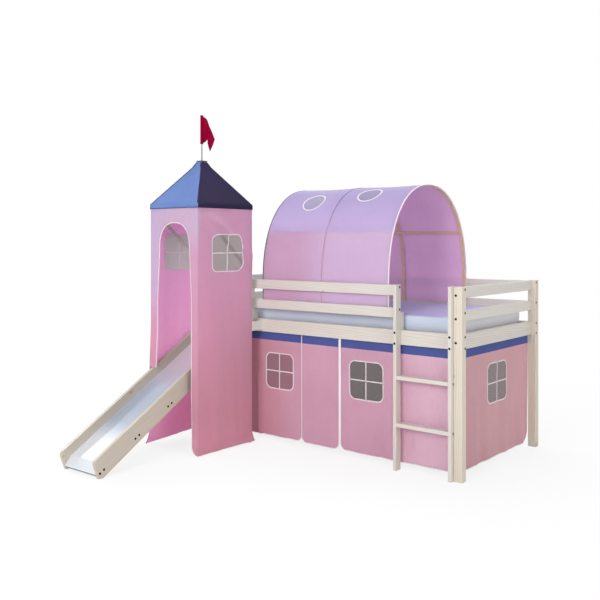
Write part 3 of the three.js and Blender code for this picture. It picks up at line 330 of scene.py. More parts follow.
# The mauve binding darkens towards the top and at the tunnel's left edge: painted shade of the sleeve's edge
# over the middle hoop and of the cloth's left rim
mauveBindingPaintedShade = makeCotton("mauveBindingPaintedShade", "#C498BA", "#BC90B2", "#AC80A4", stitch=0.5, sheen=0.04, dyesAndPaintedLight=[
    ([("Z", 1.42, 1.7)], "#6C6397"), ([("X", -0.3, -0.46)], "#63506A")])
# Mattress cover: cool white ticking with a tight weave. Painted light on it: lilac on top where the tent's
# light falls, and a lighter right end where shade falls
ticking = makeCotton(
    "mattressTickingPaintedLight", "#CCD5E4", "#C4CDDF", "#AEBBD2", stitch=0.5, crease=0.1, glow=0.0, dyesAndPaintedLight=[
        ([("X", 0.99, 0.86), ("X", -0.5, -0.42), ("Z", 0.93, 0.941)], "#A79CD0"),
        ([("X", 0.975, 0.998)], "#DCDADF")])


def makeNet(name, thread, gap, cover):
    # Polyester net: fine threads with light passing between them, so it greys what is behind
    material, tree, shader = startMaterial(name, 0.7, 0.0, 0.2)
    flat = addNode(tree, "UVMap", uv_map="flat")
    # The real net has 1 mm holes; they are drawn at 3.5 mm so that they show close up
    share = addNode(tree, "MapRange", {
        "Value": weave(tree, flat, 0.0035, "MAXIMUM"), "From Min": 0.55, "From Max": 0.95})
    colour = addNode(tree, "Mix", {0: share, 6: gap, 7: thread}, data_type="RGBA")
    bump = addNode(tree, "Bump", {"Strength": 0.5, "Distance": 0.0004, "Height": share})
    feed(tree, shader, {"Base Color": colour, "Normal": bump, "Alpha": cover})
    return material


# The curtains' windows share one net, tinted for each window. The front left one is rosy, painted light from
# the pink cloth behind it, and the front right one is darker, painted shade from the dim den behind it. The
# tower's net seen from inside is a lighter copy: painted light from behind it
darkNetPaintedShade = makeNet("darkNetPaintedShade", "#5A4A4C", "#382C2E", 0.7)
rosyNetPaintedLight = makeNet("rosyNetPaintedLight", "#A67A86", "#825C66", 0.72)
sandyNet = makeNet("sandyNet", "#7C5E5E", "#563E40", 0.66)
lightNet = makeNet("lightNet", "#A89A9A", "#8A7E7E", 0.68)
innerNetPaintedLight = makeNet("innerNetPaintedLight", "#F0EAEA", "#DED6D8", 0.72)
roundNet = makeNet("roundNet", "#9C96BA", "#8480A6", 0.7)
print("finishes ready")


# Wood, plastic and metal nodes keep their CAD shape. The first start of a name that fits gives the finish
nodeFinishes = {
    "post_": postPine, "rail_": pine["x"], "guard_upright": pine["z"], "guard_block": pine["z"],
    "guard_": pine["x"], "end_board": pine["y"], "ladder_stile": pine["z"], "ladder_rung": pine["x"],
    "slat_ledge": pine["x"], "slat_roll": slatPine, "slide_side": slidePine, "slide_panel": slideLaminate,
    "slide_toe_board": slideLaminate, "slide_": pine["x"], "tower_bracket": pine["y"],
    "tower_upright": pine["z"], "tower_brace": bracePine, "tower_roof_frame": lathBeech,
    "tunnel_purlin": lathBeech, "tunnel_hoop": hoopBeech, "crown_cap": capPlastic, "flagpole": rodPlastic}
for name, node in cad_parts.items():
    finish = next((finish for start, finish in nodeFinishes.items() if name.startswith(start)), None)
    if finish:
        for slot in node.material_slots:
            slot.material = finish
print("boards and laths finished")


# Cloth is cut flat, and then hung in place. Shares of the cutting step, and lengths
cutting = {"ringStep": 0.6, "clear": 0.45, "weld": 1e-6, "netInset": 0.001, "smooth": math.radians(50)}


def splitLoop(loop, step, closed=True):
    points = []
    ends = loop[1:] + loop[:1] if closed else loop[1:]
    for (ax, ay), (bx, by) in zip(loop, ends):
        parts = max(1, math.ceil(math.hypot(bx - ax, by - ay) / step))
        points += [(ax + (bx - ax) * i / parts, ay + (by - ay) * i / parts) for i in range(parts)]
    return points if closed else points + [loop[-1]]


def roundedBox(left, right, foot, head, radii, segments=8):
    # Corners run anticlockwise from the lower left one
    corners = [(left, foot, 1, 1, math.pi), (right, foot, -1, 1, 1.5 * math.pi),
               (right, head, -1, -1, 0), (left, head, 1, -1, quarter)]
    loop = []
    for (x, z, inX, inZ, start), radius in zip(corners, radii):
        if radius == 0:
            loop.append((x, z))
            continue
        for i in range(segments + 1):
            angle = start + quarter * i / segments
            loop.append((x + inX * radius + radius * math.cos(angle),
                         z + inZ * radius + radius * math.sin(angle)))
    return loop


def insideLoop(points, loop):
    inside = numpy.zeros(len(points), bool)
    for (ax, ay), (bx, by) in zip(loop, loop[1:] + loop[:1]):
        if ay != by:
            crosses = (ay > points[:, 1]) != (by > points[:, 1])
            inside ^= crosses & (points[:, 0] < (bx - ax) * (points[:, 1] - ay) / (by - ay) + ax)
    return inside


def distanceTo(points, lines):
    nearest = numpy.full(len(points), numpy.inf)
    x, y = points[:, 0], points[:, 1]
    for (ax, ay), (bx, by) in lines:
        dx, dy = bx - ax, by - ay
        share = numpy.clip(((x - ax) * dx + (y - ay) * dy) / max(dx * dx + dy * dy, 1e-12), 0, 1)
        nearest = numpy.minimum(nearest, numpy.hypot(x - ax - share * dx, y - ay - share * dy))
    return nearest


def insetLoop(loop, depth):
    inset = []
    for before, here, after in zip(loop[-1:] + loop[:-1], loop, loop[1:] + loop[:1]):
        dx, dy = after[0] - before[0], after[1] - before[1]
        length = math.hypot(dx, dy)
        inset.append((here[0] - dy / length * depth, here[1] + dx / length * depth))
    return inset


def mapCloth(mesh, flatAt, hemAt=lambda corner: (0.2, 0.0)):
    for label, valueAt in (("flat", flatAt), ("hem", hemAt)):
        layer = mesh.uv_layers.get(label) or mesh.uv_layers.new(name=label)
        for corner in mesh.loops:
            layer.data[corner.index].uv = valueAt(corner)


def closeCloth(name, points, faces, flat, hem, materials, thickness, picked=()):
    mesh = bpy.data.meshes.new(name)
    mesh.from_pydata(points, [], faces)
    for material in materials:
        mesh.materials.append(material)
    mapCloth(mesh, lambda corner: flat[corner.vertex_index], lambda corner: hem[corner.vertex_index])
    if picked:
        mesh.polygons.foreach_set("material_index", picked)
    obj = link(name, mesh)
    solid = obj.modifiers.new("thickness", "SOLIDIFY")
    solid.thickness = thickness
    solid.offset = 0.0
    solid.material_offset = len(materials) // 2
    solid.material_offset_rim = 0
    selectOnly(obj)
    bpy.ops.object.modifier_apply(modifier=solid.name)
    bpy.ops.object.shade_smooth_by_angle(angle=cutting["smooth"])
    return obj


def cutCloth(name, outline, place, materials, step=0.024, holes=(), folds=(), pick=None, thickness=0.0016,
             hem=0.016):
    # materials holds the outer finishes and then the inner ones, in the same order
    edge = splitLoop(list(outline), step)
    rings = [splitLoop(list(hole), step * cutting["ringStep"]) for hole in holes]
    points, links = [], []
    for line, closed in ([(edge, True)] + [(ring, True) for ring in rings] + [(insetLoop(edge, hem), True)]
                         + [(splitLoop(list(fold), step, closed=False), False) for fold in folds]):
        first, last = len(points), len(points) + len(line) - 1
        points += line
        links += [(i, i + 1) for i in range(first, last)]
        if closed:
            links.append((last, first))
    low, high = numpy.min(edge, axis=0), numpy.max(edge, axis=0)
    grid = numpy.array([(x, z) for x in numpy.arange(low[0], high[0], step)
                        for z in numpy.arange(low[1], high[1], step)])

    def onCloth(spots):
        kept = insideLoop(spots, edge)
        for ring in rings:
            kept &= ~insideLoop(spots, ring)
        return kept

    grid = grid[onCloth(grid)]
    grid = grid[distanceTo(grid, [(points[a], points[b]) for a, b in links]) > step * cutting["clear"]]
    points += map(tuple, grid)
    made, _, faces, *_ = delaunay_2d_cdt([Vector(p) for p in points], links, [], 0, cutting["weld"])
    made = numpy.array([(p.x, p.y) for p in made])
    kept = onCloth(made[numpy.array(faces)].mean(axis=1))
    faces = [tuple(face) for face, keep in zip(faces, kept) if keep]
    used = sorted({i for face in faces for i in face})
    number = {old: new for new, old in enumerate(used)}
    faces = [tuple(number[i] for i in face) for face in faces]
    made = made[used]
    picked = [pick(x, z) if pick else 0 for x, z in made[numpy.array(faces)].mean(axis=1)]
    hems = [(float(d), 0.0) for d in distanceTo(made, list(zip(edge, edge[1:] + edge[:1])))]
    flat = [tuple(map(float, p)) for p in made]
    return closeCloth(name, [place(*p) for p in flat], faces, flat, hems, materials, thickness, picked)


def sewTapes(name, paths, place, size, material, step=0.012, body=bedBody):
    # Tapes, piping and bars: strips that follow lines drawn on the flat cloth and wrap round it
    width, thickness = size
    points, faces, flat = [], [], []
    for path, closed, *own in paths:
        wide = own[0] if own else width
        line = splitLoop(list(path), step, closed)
        count, first = len(line), len(points)
        for i, here in enumerate(line):
            before = line[i - 1] if closed or i else here
            after = line[(i + 1) % count] if closed or i < count - 1 else here
            dx, dy = after[0] - before[0], after[1] - before[1]
            length = math.hypot(dx, dy)
            for share in (-0.5, 0.0, 0.5):
                points.append(place(here[0] - dy / length * wide * share, here[1] + dx / length * wide * share))
                flat.append((wide * share, i * step))
        for i in range(count if closed else count - 1):
            a, b = first + 3 * i, first + 3 * ((i + 1) % count)
            faces += [(a + 1, a, b, b + 1), (a + 2, a + 1, b + 1, b + 2)]
    tapes = closeCloth(name, points, faces, flat, [(0.1, 0.0)] * len(points), [material], thickness)
    settle(tapes, body)
    return tapes


def hangNet(name, frameLoop, place, net, body=bedBody):
    cloth = cutCloth(name, insetLoop(frameLoop, cutting["netInset"]), place, [net], thickness=0.0008, hem=0.006)
    settle(cloth, body)
    return cloth


def gridFaces(first, rows, width, closed=True):
    # Quads between rows of points, from the point numbered first, each row closed on itself or open
    quads = []
    for j in range(first, first + rows * width, width):
        for i in range(width if closed else width - 1):
            a, b = j + i, j + (i + 1) % width
            quads.append((a, b, b + width, a + width))
    return quads


def windowBars(left, right, foot, head):
    middle, level = (left + right) / 2, (foot + head) / 2
    return [([(middle, foot), (middle, head)], False), ([(left, level), (right, level)], False)]


# Play curtains: pink, with a blue band under the rail and net windows
curtain = {
    "top": 0.786, "doorTop": 0.7587, "railFoot": 0.761, "bandFoot": 0.703, "hem": 0.034, "corner": 0.046,
    "rearCorner": 0.09, "windowCorner": 0.043, "piping": (0.007, 0.0036), "sidePipe": 0.0048, "sideEnd": 0.002,
    "windowFill": 0.97,  # a window's share of its box, less the round corners
    "frontY": 0.1553, "endX": 1.0387, "doorY": 0.14853, "ends": (0.1725, 1.1455), "drift": 0.0035,
    "inward": -0.0005, "pleatInward": 0.007,  # as far as a swing or a pleat may go towards the rail
    "pleatFall": 0.3, "doorSlack": 0.35,
    # Height, gap, start and lean of each swing
    "swings": ((0.0034, 0.236, 1, 0), (0.0018, 0.127, 1.7, 2), (0.0011, 0.061, 1, 3)),
    # Two deep pleats where the front curtain passes behind the tower: place, width, height
    "pleats": ((-0.497, 0.01, 0.012), (-0.548, 0.012, 0.012), (-0.522, 0.012, -0.012), (-0.6, 0.02, 0.006))}


def drape(along, z, seed):
    # Flat where it is stuck to the rail, and in slack pleats lower down
    fall = smoothStep(0, curtain["railFoot"], curtain["railFoot"] - z)
    return fall * (curtain["drift"] + sum(
        height * math.sin(2 * math.pi * along / gap + start * seed + lean * z)
        for height, gap, start, lean in curtain["swings"]))


def onFront(x, z):
    fall = smoothStep(0.0, curtain["pleatFall"], curtain["railFoot"] - z)
    pleats = fall * sum(height * bell(x, place, width) for place, width, height in curtain["pleats"])
    nearest = curtain["inward"] - curtain["pleatInward"] * fall
    return (x, curtain["frontY"] + max(nearest, drape(x, z, seed=0.8) + pleats), z)


def onRightEnd(y, z):
    return (curtain["endX"] - max(curtain["inward"], drape(y, z, seed=2.1)), y, z)


def onLeftEnd(along, z):
    y = sum(curtain["ends"]) - along  # mirrored, so that the cloth's outer side still looks out
    return (-curtain["endX"] + max(curtain["inward"], drape(y, z, seed=3.3)), y, z)


def onDoor(x, z):
    return (x, curtain["doorY"] + curtain["doorSlack"] * (drape(x, z, seed=1.4) - curtain["drift"] / 2), z)


def makeCurtain(name, standsFor, span, place, corners, cotton, window=None, net=None, body=bedBody,
                top=curtain["top"]):
    left, right = span
    hem, band = curtain["hem"], curtain["bandFoot"]
    outline = roundedBox(left, right, hem, top, (*corners, 0, 0))
    loop = []
    for a, b in zip(outline, outline[1:] + outline[:1]):
        loop.append(a)
        if a[0] == b[0] in span and min(a[1], b[1]) < band < max(a[1], b[1]):
            loop.append((a[0], band))
    sides = insetLoop(roundedBox(left, right, hem, min(top, curtain["railFoot"]) - curtain["sideEnd"],
                                 (*corners, 0, 0)), curtain["sidePipe"] / 2)
    paths = [(sides[-1:] + sides[:-1], False, curtain["sidePipe"])]
    holes, trims, windowArea = [], [], 0
    if window:
        middle, level, width, height = window
        box = (middle - width / 2, middle + width / 2, level - height / 2, level + height / 2)
        holes = [roundedBox(*box, [curtain["windowCorner"]] * 4)]
        paths += [(holes[0], True)] + windowBars(*box)
        windowArea = width * height * curtain["windowFill"]
    cloth = cutCloth(name, loop, place, [cotton, blueCotton, curtainInside, blueCotton], holes=holes,
                     folds=[[(left, band), (right, band)]], pick=lambda x, z: 1 if z > band else 0)
    settle(cloth, body, standsFor)
    if window:
        trims.append(hangNet(f"{name}_net", holes[0], place, net, body))
    trims.append(sewTapes(f"{name}_piping", paths, place, curtain["piping"], paleBinding,
                          body=body))
    width, height = right - left, top - hem


small, large = curtain["corner"], curtain["rearCorner"]
makeCurtain("frontCurtainLeft", "curtain_front_left", (-1.0345, -0.1395), onFront, (0, small),
            curtainCotton, (-0.337, 0.492, 0.246, 0.246), rosyNetPaintedLight)
makeCurtain("frontCurtainRight", "curtain_front_right", (0.1865, 1.0345), onFront, (small, 0),
            curtainCotton, (0.388, 0.504, 0.258, 0.246), darkNetPaintedShade)
makeCurtain("endCurtainRight", "curtain_end_right", curtain["ends"], onRightEnd, (0, large),
            endCotton, (0.672, 0.504, 0.27, 0.25), sandyNet)
makeCurtain("endCurtainLeft", "curtain_end_left", curtain["ends"], onLeftEnd, (large, 0),
            endCotton, (0.646, 0.504, 0.27, 0.25), sandyNet)
makeCurtain("doorCurtain", "curtain_door", (-0.1345, 0.1815), onDoor, (small, small),
            curtainCotton, body="door_curtain", top=curtain["doorTop"])
print("curtains hung")


# Play tower walls: one cloth round the left side, the arched front and the right side
tower = {
    "left": -0.9511, "right": -0.4855, "front": -0.4775, "rear": 0.0325, "hem": 0.006, "top": 1.64,
    "thickness": 0.0018, "piping": (0.0064, 0.0036), "archPipe": 0.0048, "seam": (0.007, 0.0034),
    "pipeStart": 0.002, "seamEnd": 0.03, "archX": -0.7125, "archSpring": 1.342, "archApex": 1.518,
    "archPower": 2.4, "springHalf": 0.147, "footHalf": 0.166, "flareEnd": 1.0, "freeCorner": 0.055,
    "jambLevels": [0.4, 0.7], "notch": 0.539, "return": 0.006, "windowY": (-0.3505, -0.0785),
    "windowZ": (1.193, 1.439), "windowCorner": 0.04, "seamFolds": (-0.008, 0.0, 0.008), "foldFoot": 0.03,
    "foldAbove": 0.01, "foldBelow": 0.004,
    # the left wall stands out over the slide, and the hem flares and rises towards the bed
    "bulge": 0.014, "bulgeFoot": 0.53, "bulgeHead": 0.85, "flareLeft": 0.046, "flareLeftHeight": 0.13,
    "flareRight": 0.034, "flareRightHeight": 0.09, "riseLeft": 0.056, "riseRight": 0.01, "riseHeight": 0.5,
    "cornerRound": 0.008, "cornerCut": 0.3, "braceFoot": (0.003, 1.17), "braceHead": (-0.464, 1.61),
    "folds": ((0.0, 0.026, 0.085), (0.17, 0.009, 0.03), (-0.2, 0.008, 0.035)),  # lean, height, width
    "foldStart": (0.0, 0.12), "foldEnd": (0.5, 0.68), "steepSide": 0.3, "leftFolds": 0.6, "crease": 0.16,
    "creaseHeight": 0.007, "creaseWidths": (0.02, 0.07), "creaseFoot": (0.1, 0.35), "creaseHead": (1.0, 0.7),
    "calm": ((-0.2145, 0.12), (1.316, 0.11)), "calmShare": 0.75, "flatHead": (1.6, 1.5), "slack": (1.62, 0.5),
    "swing": 1.15, "curl": 0.004, "curlWave": (5.1, 1.0), "curlFrom": 0.02, "curlOver": 0.04, "inward": -0.0005,
    "waves": ((0.0042, 0.31, 1.3, 0.6), (0.002, 0.13, 2.9, 0))}  # height, gap, lean, start
sideDepth = tower["rear"] - tower["front"]
frontWidth = tower["right"] - tower["left"]
wallRun = 2 * sideDepth + frontWidth
seams = (sideDepth, sideDepth + frontWidth)


def archHalf(z):
    if z > tower["archSpring"]:
        share = (z - tower["archSpring"]) / (tower["archApex"] - tower["archSpring"])
        return tower["springHalf"] * max(0.0, 1 - share ** tower["archPower"]) ** (1 / tower["archPower"])
    share = min(1.0, (tower["archSpring"] - z) / (tower["archSpring"] - tower["flareEnd"]))
    return tower["springHalf"] + (tower["footHalf"] - tower["springHalf"]) * share


def braceFolds(y, z):
    # The cloth stretches over the diagonal brace, and folds run out of its upper end
    (footY, footZ), (headY, headZ) = tower["braceFoot"], tower["braceHead"]
    folds = 0.0
    for lean, height, wide in tower["folds"]:
        turned = math.atan2(footZ - headZ, footY - headY) + lean
        along = (y - headY) * math.cos(turned) + (z - headZ) * math.sin(turned)
        off = -(y - headY) * math.sin(turned) + (z - headZ) * math.cos(turned)
        reach = smoothStep(*tower["foldStart"], along) * (1 - smoothStep(*tower["foldEnd"], along))
        # steep on the side below the fold, easy above it
        folds += height * reach * bell(off, 0, wide if off > 0 else tower["steepSide"] * wide)
    behind = y - tower["front"] - tower["crease"]
    folds += tower["creaseHeight"] * bell(behind, 0, tower["creaseWidths"][behind >= 0]) * smoothStep(
        *tower["creaseHead"], z) * smoothStep(*tower["creaseFoot"], z)
    # the window keeps its net flat
    calmY, calmZ = tower["calm"]
    calm = 1 - tower["calmShare"] * bell(y, *calmY) * bell(z, *calmZ)
    return folds * calm * smoothStep(*tower["flatHead"], z)


def onTower(p, z):
    flareLeft = tower["flareLeft"] * max(0.0, 1 - z / tower["flareLeftHeight"]) ** 2
    flareRight = tower["flareRight"] * max(0.0, 1 - z / tower["flareRightHeight"]) ** 2
    rise = max(0.0, 1 - z / tower["riseHeight"]) ** 2
    bulge = tower["bulge"] * smoothStep(tower["bulgeHead"], tower["bulgeFoot"], z)
    slack = smoothStep(*tower["slack"], z)
    wander = slack * sum(height * math.sin(2 * math.pi * p / gap + lean * z + start)
                         for height, gap, lean, start in tower["waves"])
    r = tower["cornerRound"]

    def cutCorner(fromCorner):
        return tower["cornerCut"] * max(0.0, r - fromCorner) ** 2 / r

    if p < sideDepth:
        share = p / sideDepth
        swing = wander * math.sin(math.pi * (tower["swing"] * min(share, 1 - share)))
        y = tower["rear"] - p
        x = tower["left"] - bulge * share - flareLeft * share ** 2 - abs(swing)
        x += cutCorner(sideDepth - p) - tower["leftFolds"] * braceFolds(y, z)
        return (x, y, z + tower["riseLeft"] * (1 - share) * rise)
    if p > sideDepth + frontWidth:
        share = (p - sideDepth - frontWidth) / sideDepth
        y = tower["front"] + sideDepth * share
        swing = wander * math.sin(math.pi * share)
        x = tower["right"] + flareRight * share ** 2 + abs(swing) + braceFolds(y, z)
        return (x - cutCorner(sideDepth * share), y, z + tower["riseRight"] * share * rise)
    reach = p - sideDepth
    toCorner = min(reach, frontWidth - reach)
    lean, start = tower["curlWave"]
    clear = min(1.0, max(0.0, (toCorner - tower["curlFrom"]) / tower["curlOver"]))
    curl = max(tower["inward"], tower["curl"] * math.sin(lean * z + start) * slack * clear)
    shift = bulge + flareLeft if reach < frontWidth / 2 else 0.0
    return (tower["left"] - shift + reach, tower["front"] + cutCorner(toCorner) + curl, z)


archMiddle = sideDepth + tower["archX"] - tower["left"]
archLevels = tower["jambLevels"] + [tower["flareEnd"], tower["archSpring"]]
archSteps = 14
for i in range(1, archSteps + 1):
    archLevels.append(tower["archSpring"] + (tower["archApex"] - tower["archSpring"])
                      * math.sin(quarter * i / archSteps) ** (2 / tower["archPower"]))
notch, hemZ, freeCorner = tower["notch"], tower["hem"], tower["freeCorner"]
leftJamb = [(archMiddle - archHalf(z), z) for z in [notch] + archLevels[1:]]
rightJamb = [(archMiddle + archHalf(z), z) for z in reversed(archLevels[:-1])]
rightJamb += [(archMiddle + tower["footHalf"] + freeCorner * (1 - math.sin(quarter * i / 6)),
               hemZ + freeCorner * (1 - math.cos(quarter * i / 6))) for i in reversed(range(7))]

# The strip left of the arch ends on the slide's side, and only a narrow return goes on down to the hem
returnEdge = sideDepth + tower["return"]
wallOutline = [(0, hemZ), (returnEdge, hemZ), (returnEdge, notch)] + leftJamb + rightJamb
wallOutline += [(seams[1], hemZ), (wallRun, hemZ), (wallRun, tower["top"]), (0, tower["top"])]
windowFront, windowRear = tower["windowY"]
sideWindows = [(tower["rear"] - windowRear, tower["rear"] - windowFront, *tower["windowZ"]),
               (seams[1] + windowFront - tower["front"], seams[1] + windowRear - tower["front"],
                *tower["windowZ"])]
frames = [roundedBox(*box, [tower["windowCorner"]] * 4) for box in sideWindows]
towerFolds = []
for seam in seams:
    for shift in tower["seamFolds"]:
        foldFoot = notch + tower["foldAbove"] if seam == sideDepth and shift > 0 else tower["foldFoot"]
        towerFolds.append([(seam + shift, foldFoot), (seam + shift, tower["top"] - tower["foldBelow"])])
towerCloth = cutCloth("towerWalls", wallOutline, onTower, [towerCotton, towerInside], step=0.022, holes=frames,
                      folds=towerFolds, thickness=tower["thickness"])
settle(towerCloth, standsFor="tower_walls")
archPath = [(leftJamb[0][0], notch + tower["pipeStart"])] + leftJamb[1:] + rightJamb
paths = [(archPath, False, tower["archPipe"])] + [(loop, True) for loop in frames]
for box in sideWindows:
    paths += windowBars(*box)
seamLines = [([(seam, hemZ), (seam, tower["top"] - tower["seamEnd"])], False) for seam in seams]
towerTrims = [sewTapes("towerPiping", paths, onTower, tower["piping"], paleBinding),
              sewTapes("towerSeams", seamLines, onTower, tower["seam"], towerCotton),
              hangNet("towerNetLeft", frames[0], onTower, innerNetPaintedLight),
              hangNet("towerNetRight", frames[1], onTower, lightNet)]
print("tower walls hung")


# Tower roof: four slopes of two blues, with a skirt that drops over the walls
roof = {
    "x": -0.7183, "y": -0.2225, "halfX": 0.2345, "halfY": 0.2573, "foot": 1.612, "eave": 1.643, "shoulder": 1.9,
    "shoulderHalf": 0.045, "crown": 1.936, "crownHalf": 0.0255, "sag": 0.012, "skirtEase": 0.0012,
    "skirtWave": 0.0022, "skirtWaves": 5, "skirtLevels": [-1, -0.65, -0.3], "crownLevels": [1.5, 2.0],
    "columns": 16, "rows": 14, "thickness": 0.0018, "tape": (0.016, 0.0036), "tapeEnd": 1.9, "ridgeStep": 10,
    "mapWidth": 0.45, "mapGap": 0.6, "turns": ((-1, -1), (1, -1), (1, 1), (-1, 1))}


def roofPoint(side, share, level):
    # level runs from -1 at the skirt's hem to 0 at the eave, 1 at the shoulder and 2 at the crown
    halfX, halfY, sag = roof["halfX"], roof["halfY"], 0
    if level < 0:
        halfX, halfY = halfX + roof["skirtEase"], halfY + roof["skirtEase"]
        z = roof["eave"] + (roof["eave"] - roof["foot"]) * level
        sag = roof["skirtWave"] * level * math.sin(roof["skirtWaves"] * math.pi * share) / math.sin(
            math.pi * max(0.05, min(0.95, share)))
    elif level <= 1:
        halfX += (roof["shoulderHalf"] - halfX) * level
        halfY += (roof["shoulderHalf"] - halfY) * level
        z = roof["eave"] + (roof["shoulder"] - roof["eave"]) * level
        sag = roof["sag"] * math.sin(math.pi * level ** 0.8)
    else:
        halfX = halfY = roof["shoulderHalf"] + (roof["crownHalf"] - roof["shoulderHalf"]) * (level - 1)
        z = roof["shoulder"] + (roof["crown"] - roof["shoulder"]) * (level - 1)
    (ax, ay), (bx, by) = roof["turns"][side], roof["turns"][(side + 1) % 4]
    dip = 1 - sag * math.sin(math.pi * share) / halfX
    x = (ax + (bx - ax) * share) * halfX * (dip if ax == bx else 1)
    y = (ay + (by - ay) * share) * halfY * (dip if ay == by else 1)
    return (roof["x"] + x, roof["y"] + y, z)


def buildRoof():
    levels = roof["skirtLevels"] + [i / roof["rows"] for i in range(roof["rows"] + 1)] + roof["crownLevels"]
    columns = roof["columns"]
    count = 4 * columns
    points, flat, hems = [], [], []
    slant = 0.0
    for level in levels:
        row = [roofPoint(i // columns, i % columns / columns, level) for i in range(count)]
        if points:
            slant += (Vector(row[columns // 2]) - Vector(points[columns // 2 - count])).length
        for i in range(count):
            side, share = i // columns, i % columns / columns
            width = abs(row[(side + 1) % 4 * columns][0] - row[side * columns][0]) or roof["mapWidth"]
            flat.append((share * width + roof["mapGap"] * side, slant))
            hems.append((slant, 0.0))
        points += row
    faces = gridFaces(0, len(levels) - 1, count)
    picked = [i % count // columns % 2 for i in range(len(faces))]
    return closeCloth("roofCloth", points, faces, flat, hems, [roofBlue, roofIndigo] * 2, roof["thickness"],
                      picked)


def onRidge(offset, run):
    # Folded over the ridge: offset is across it, and run is up it, with one more step for each next ridge
    ridge = int(run // roof["ridgeStep"])
    level = run - roof["ridgeStep"] * ridge
    sideRun = 2 * max(roof["crownHalf"], roof["halfX"] + (roof["shoulderHalf"] - roof["halfX"]) * level)
    share = abs(offset) / sideRun
    return roofPoint((ridge - 1) % 4, 1 - share, level) if offset < 0 else roofPoint(ridge, share, level)


roofCloth = buildRoof()
settle(roofCloth, standsFor="tower_roof_cloth")
ridgeLines = [([(0.0, start), (0.0, start + roof["tapeEnd"])], False)
              for start in range(0, 4 * roof["ridgeStep"], roof["ridgeStep"])]
ridgeTapes = sewTapes("ridgeTapes", ridgeLines, onRidge, roof["tape"], roofIndigo, step=0.1)
print("tower roof stretched")


# Tunnel tent: one cover over three hoops, with two round net windows in its front slope
tunnel = {
    "left": -0.4715, "right": 0.5765, "y": 0.63888, "half": 0.5082, "hem": 0.948, "spring": 1.127,
    "apex": 1.7719, "power": 2.2, "hoops": (-0.4525, 0.0525, 0.5575), "hoopHalf": 0.011, "thickness": 0.0018,
    "sag": 0.005, "ripple": 0.0022, "rippleGap": 0.19, "rippleLean": 9, "sideHeight": 0.35, "crownShare": 0.6,
    "windows": ((-0.18, 0.34, 1.671), (0.25, 0.398, 1.713)), "windowHalf": 0.084, "windowSteps": 48,
    "piping": (0.008, 0.004), "seam": (0.007, 0.0038), "edgeInset": 0.003, "seamShift": -0.004, "seamEnd": 0.01,
    "foldEnd": 0.02, "arcSteps": 180}
tunnelLine = [(tunnel["y"] - tunnel["half"], tunnel["hem"])]
for i in range(tunnel["arcSteps"] + 1):
    angle = math.pi * (1 - i / tunnel["arcSteps"])
    c = math.cos(angle)
    tunnelLine.append((tunnel["y"] + tunnel["half"] * math.copysign(abs(c) ** (2 / tunnel["power"]), c),
                       tunnel["spring"] + (tunnel["apex"] - tunnel["spring"])
                       * max(0.0, math.sin(angle)) ** (2 / tunnel["power"])))
tunnelLine.append((tunnel["y"] + tunnel["half"], tunnel["hem"]))
tunnelRuns = [0.0]
for a, b in zip(tunnelLine, tunnelLine[1:]):
    tunnelRuns.append(tunnelRuns[-1] + math.dist(a, b))
tunnelLength = tunnelRuns[-1]


def onTunnel(x, run):
    i = min(max(int(numpy.searchsorted(tunnelRuns, run)) - 1, 0), len(tunnelLine) - 2)
    (ay, az), (by, bz) = tunnelLine[i], tunnelLine[i + 1]
    length = max(tunnelRuns[i + 1] - tunnelRuns[i], 1e-9)
    share = (run - tunnelRuns[i]) / length
    sag = 0.0
    for left, right in zip(tunnel["hoops"], tunnel["hoops"][1:]):
        bay = (x - left - tunnel["hoopHalf"]) / (right - left - 2 * tunnel["hoopHalf"])
        if 0 < bay < 1:
            high = tunnel["crownShare"] * smoothStep(0.0, tunnel["sideHeight"], min(run, tunnelLength - run))
            ripple = tunnel["ripple"] * math.sin(
                2 * math.pi * run / tunnel["rippleGap"] + tunnel["rippleLean"] * x)
            sag = math.sin(math.pi * bay) * (
                tunnel["sag"] * (1 - tunnel["crownShare"] + high) + abs(ripple * (1 - high)))
    return (x, ay + (by - ay) * share + (bz - az) / length * sag,
            az + (bz - az) * share - (by - ay) / length * sag)


portholes = []
for x, y, z in tunnel["windows"]:
    middle = min(zip(tunnelRuns, tunnelLine), key=lambda item: math.dist(item[1], (y, z)))[0]
    steps, half = tunnel["windowSteps"], tunnel["windowHalf"]
    angles = [2 * math.pi * i / steps for i in range(steps)]
    portholes.append([(x + half * math.cos(angle), middle + half * math.sin(angle)) for angle in angles])
foldEnds = (tunnel["foldEnd"], tunnelLength - tunnel["foldEnd"])
hoopFolds = [[(x + side * tunnel["hoopHalf"], end) for end in foldEnds]
             for x in tunnel["hoops"] for side in (-1, 1)][1:-1]
coverOutline = [(tunnel["left"], 0), (tunnel["right"], 0), (tunnel["right"], tunnelLength),
                (tunnel["left"], tunnelLength)]
cover = cutCloth("tunnelCover", coverOutline, onTunnel, [tunnelCotton, tunnelInside], step=0.03,
                 holes=portholes, folds=hoopFolds, thickness=tunnel["thickness"], hem=0.006)
settle(cover, standsFor="tunnel_cover")
rightEdge, leftEdge = ([(x, 0.0), (x, tunnelLength)] for x in (
    tunnel["right"] - tunnel["edgeInset"], tunnel["left"] + tunnel["edgeInset"]))
edgeLines = [(rightEdge, False)] + [(loop, True) for loop in portholes]
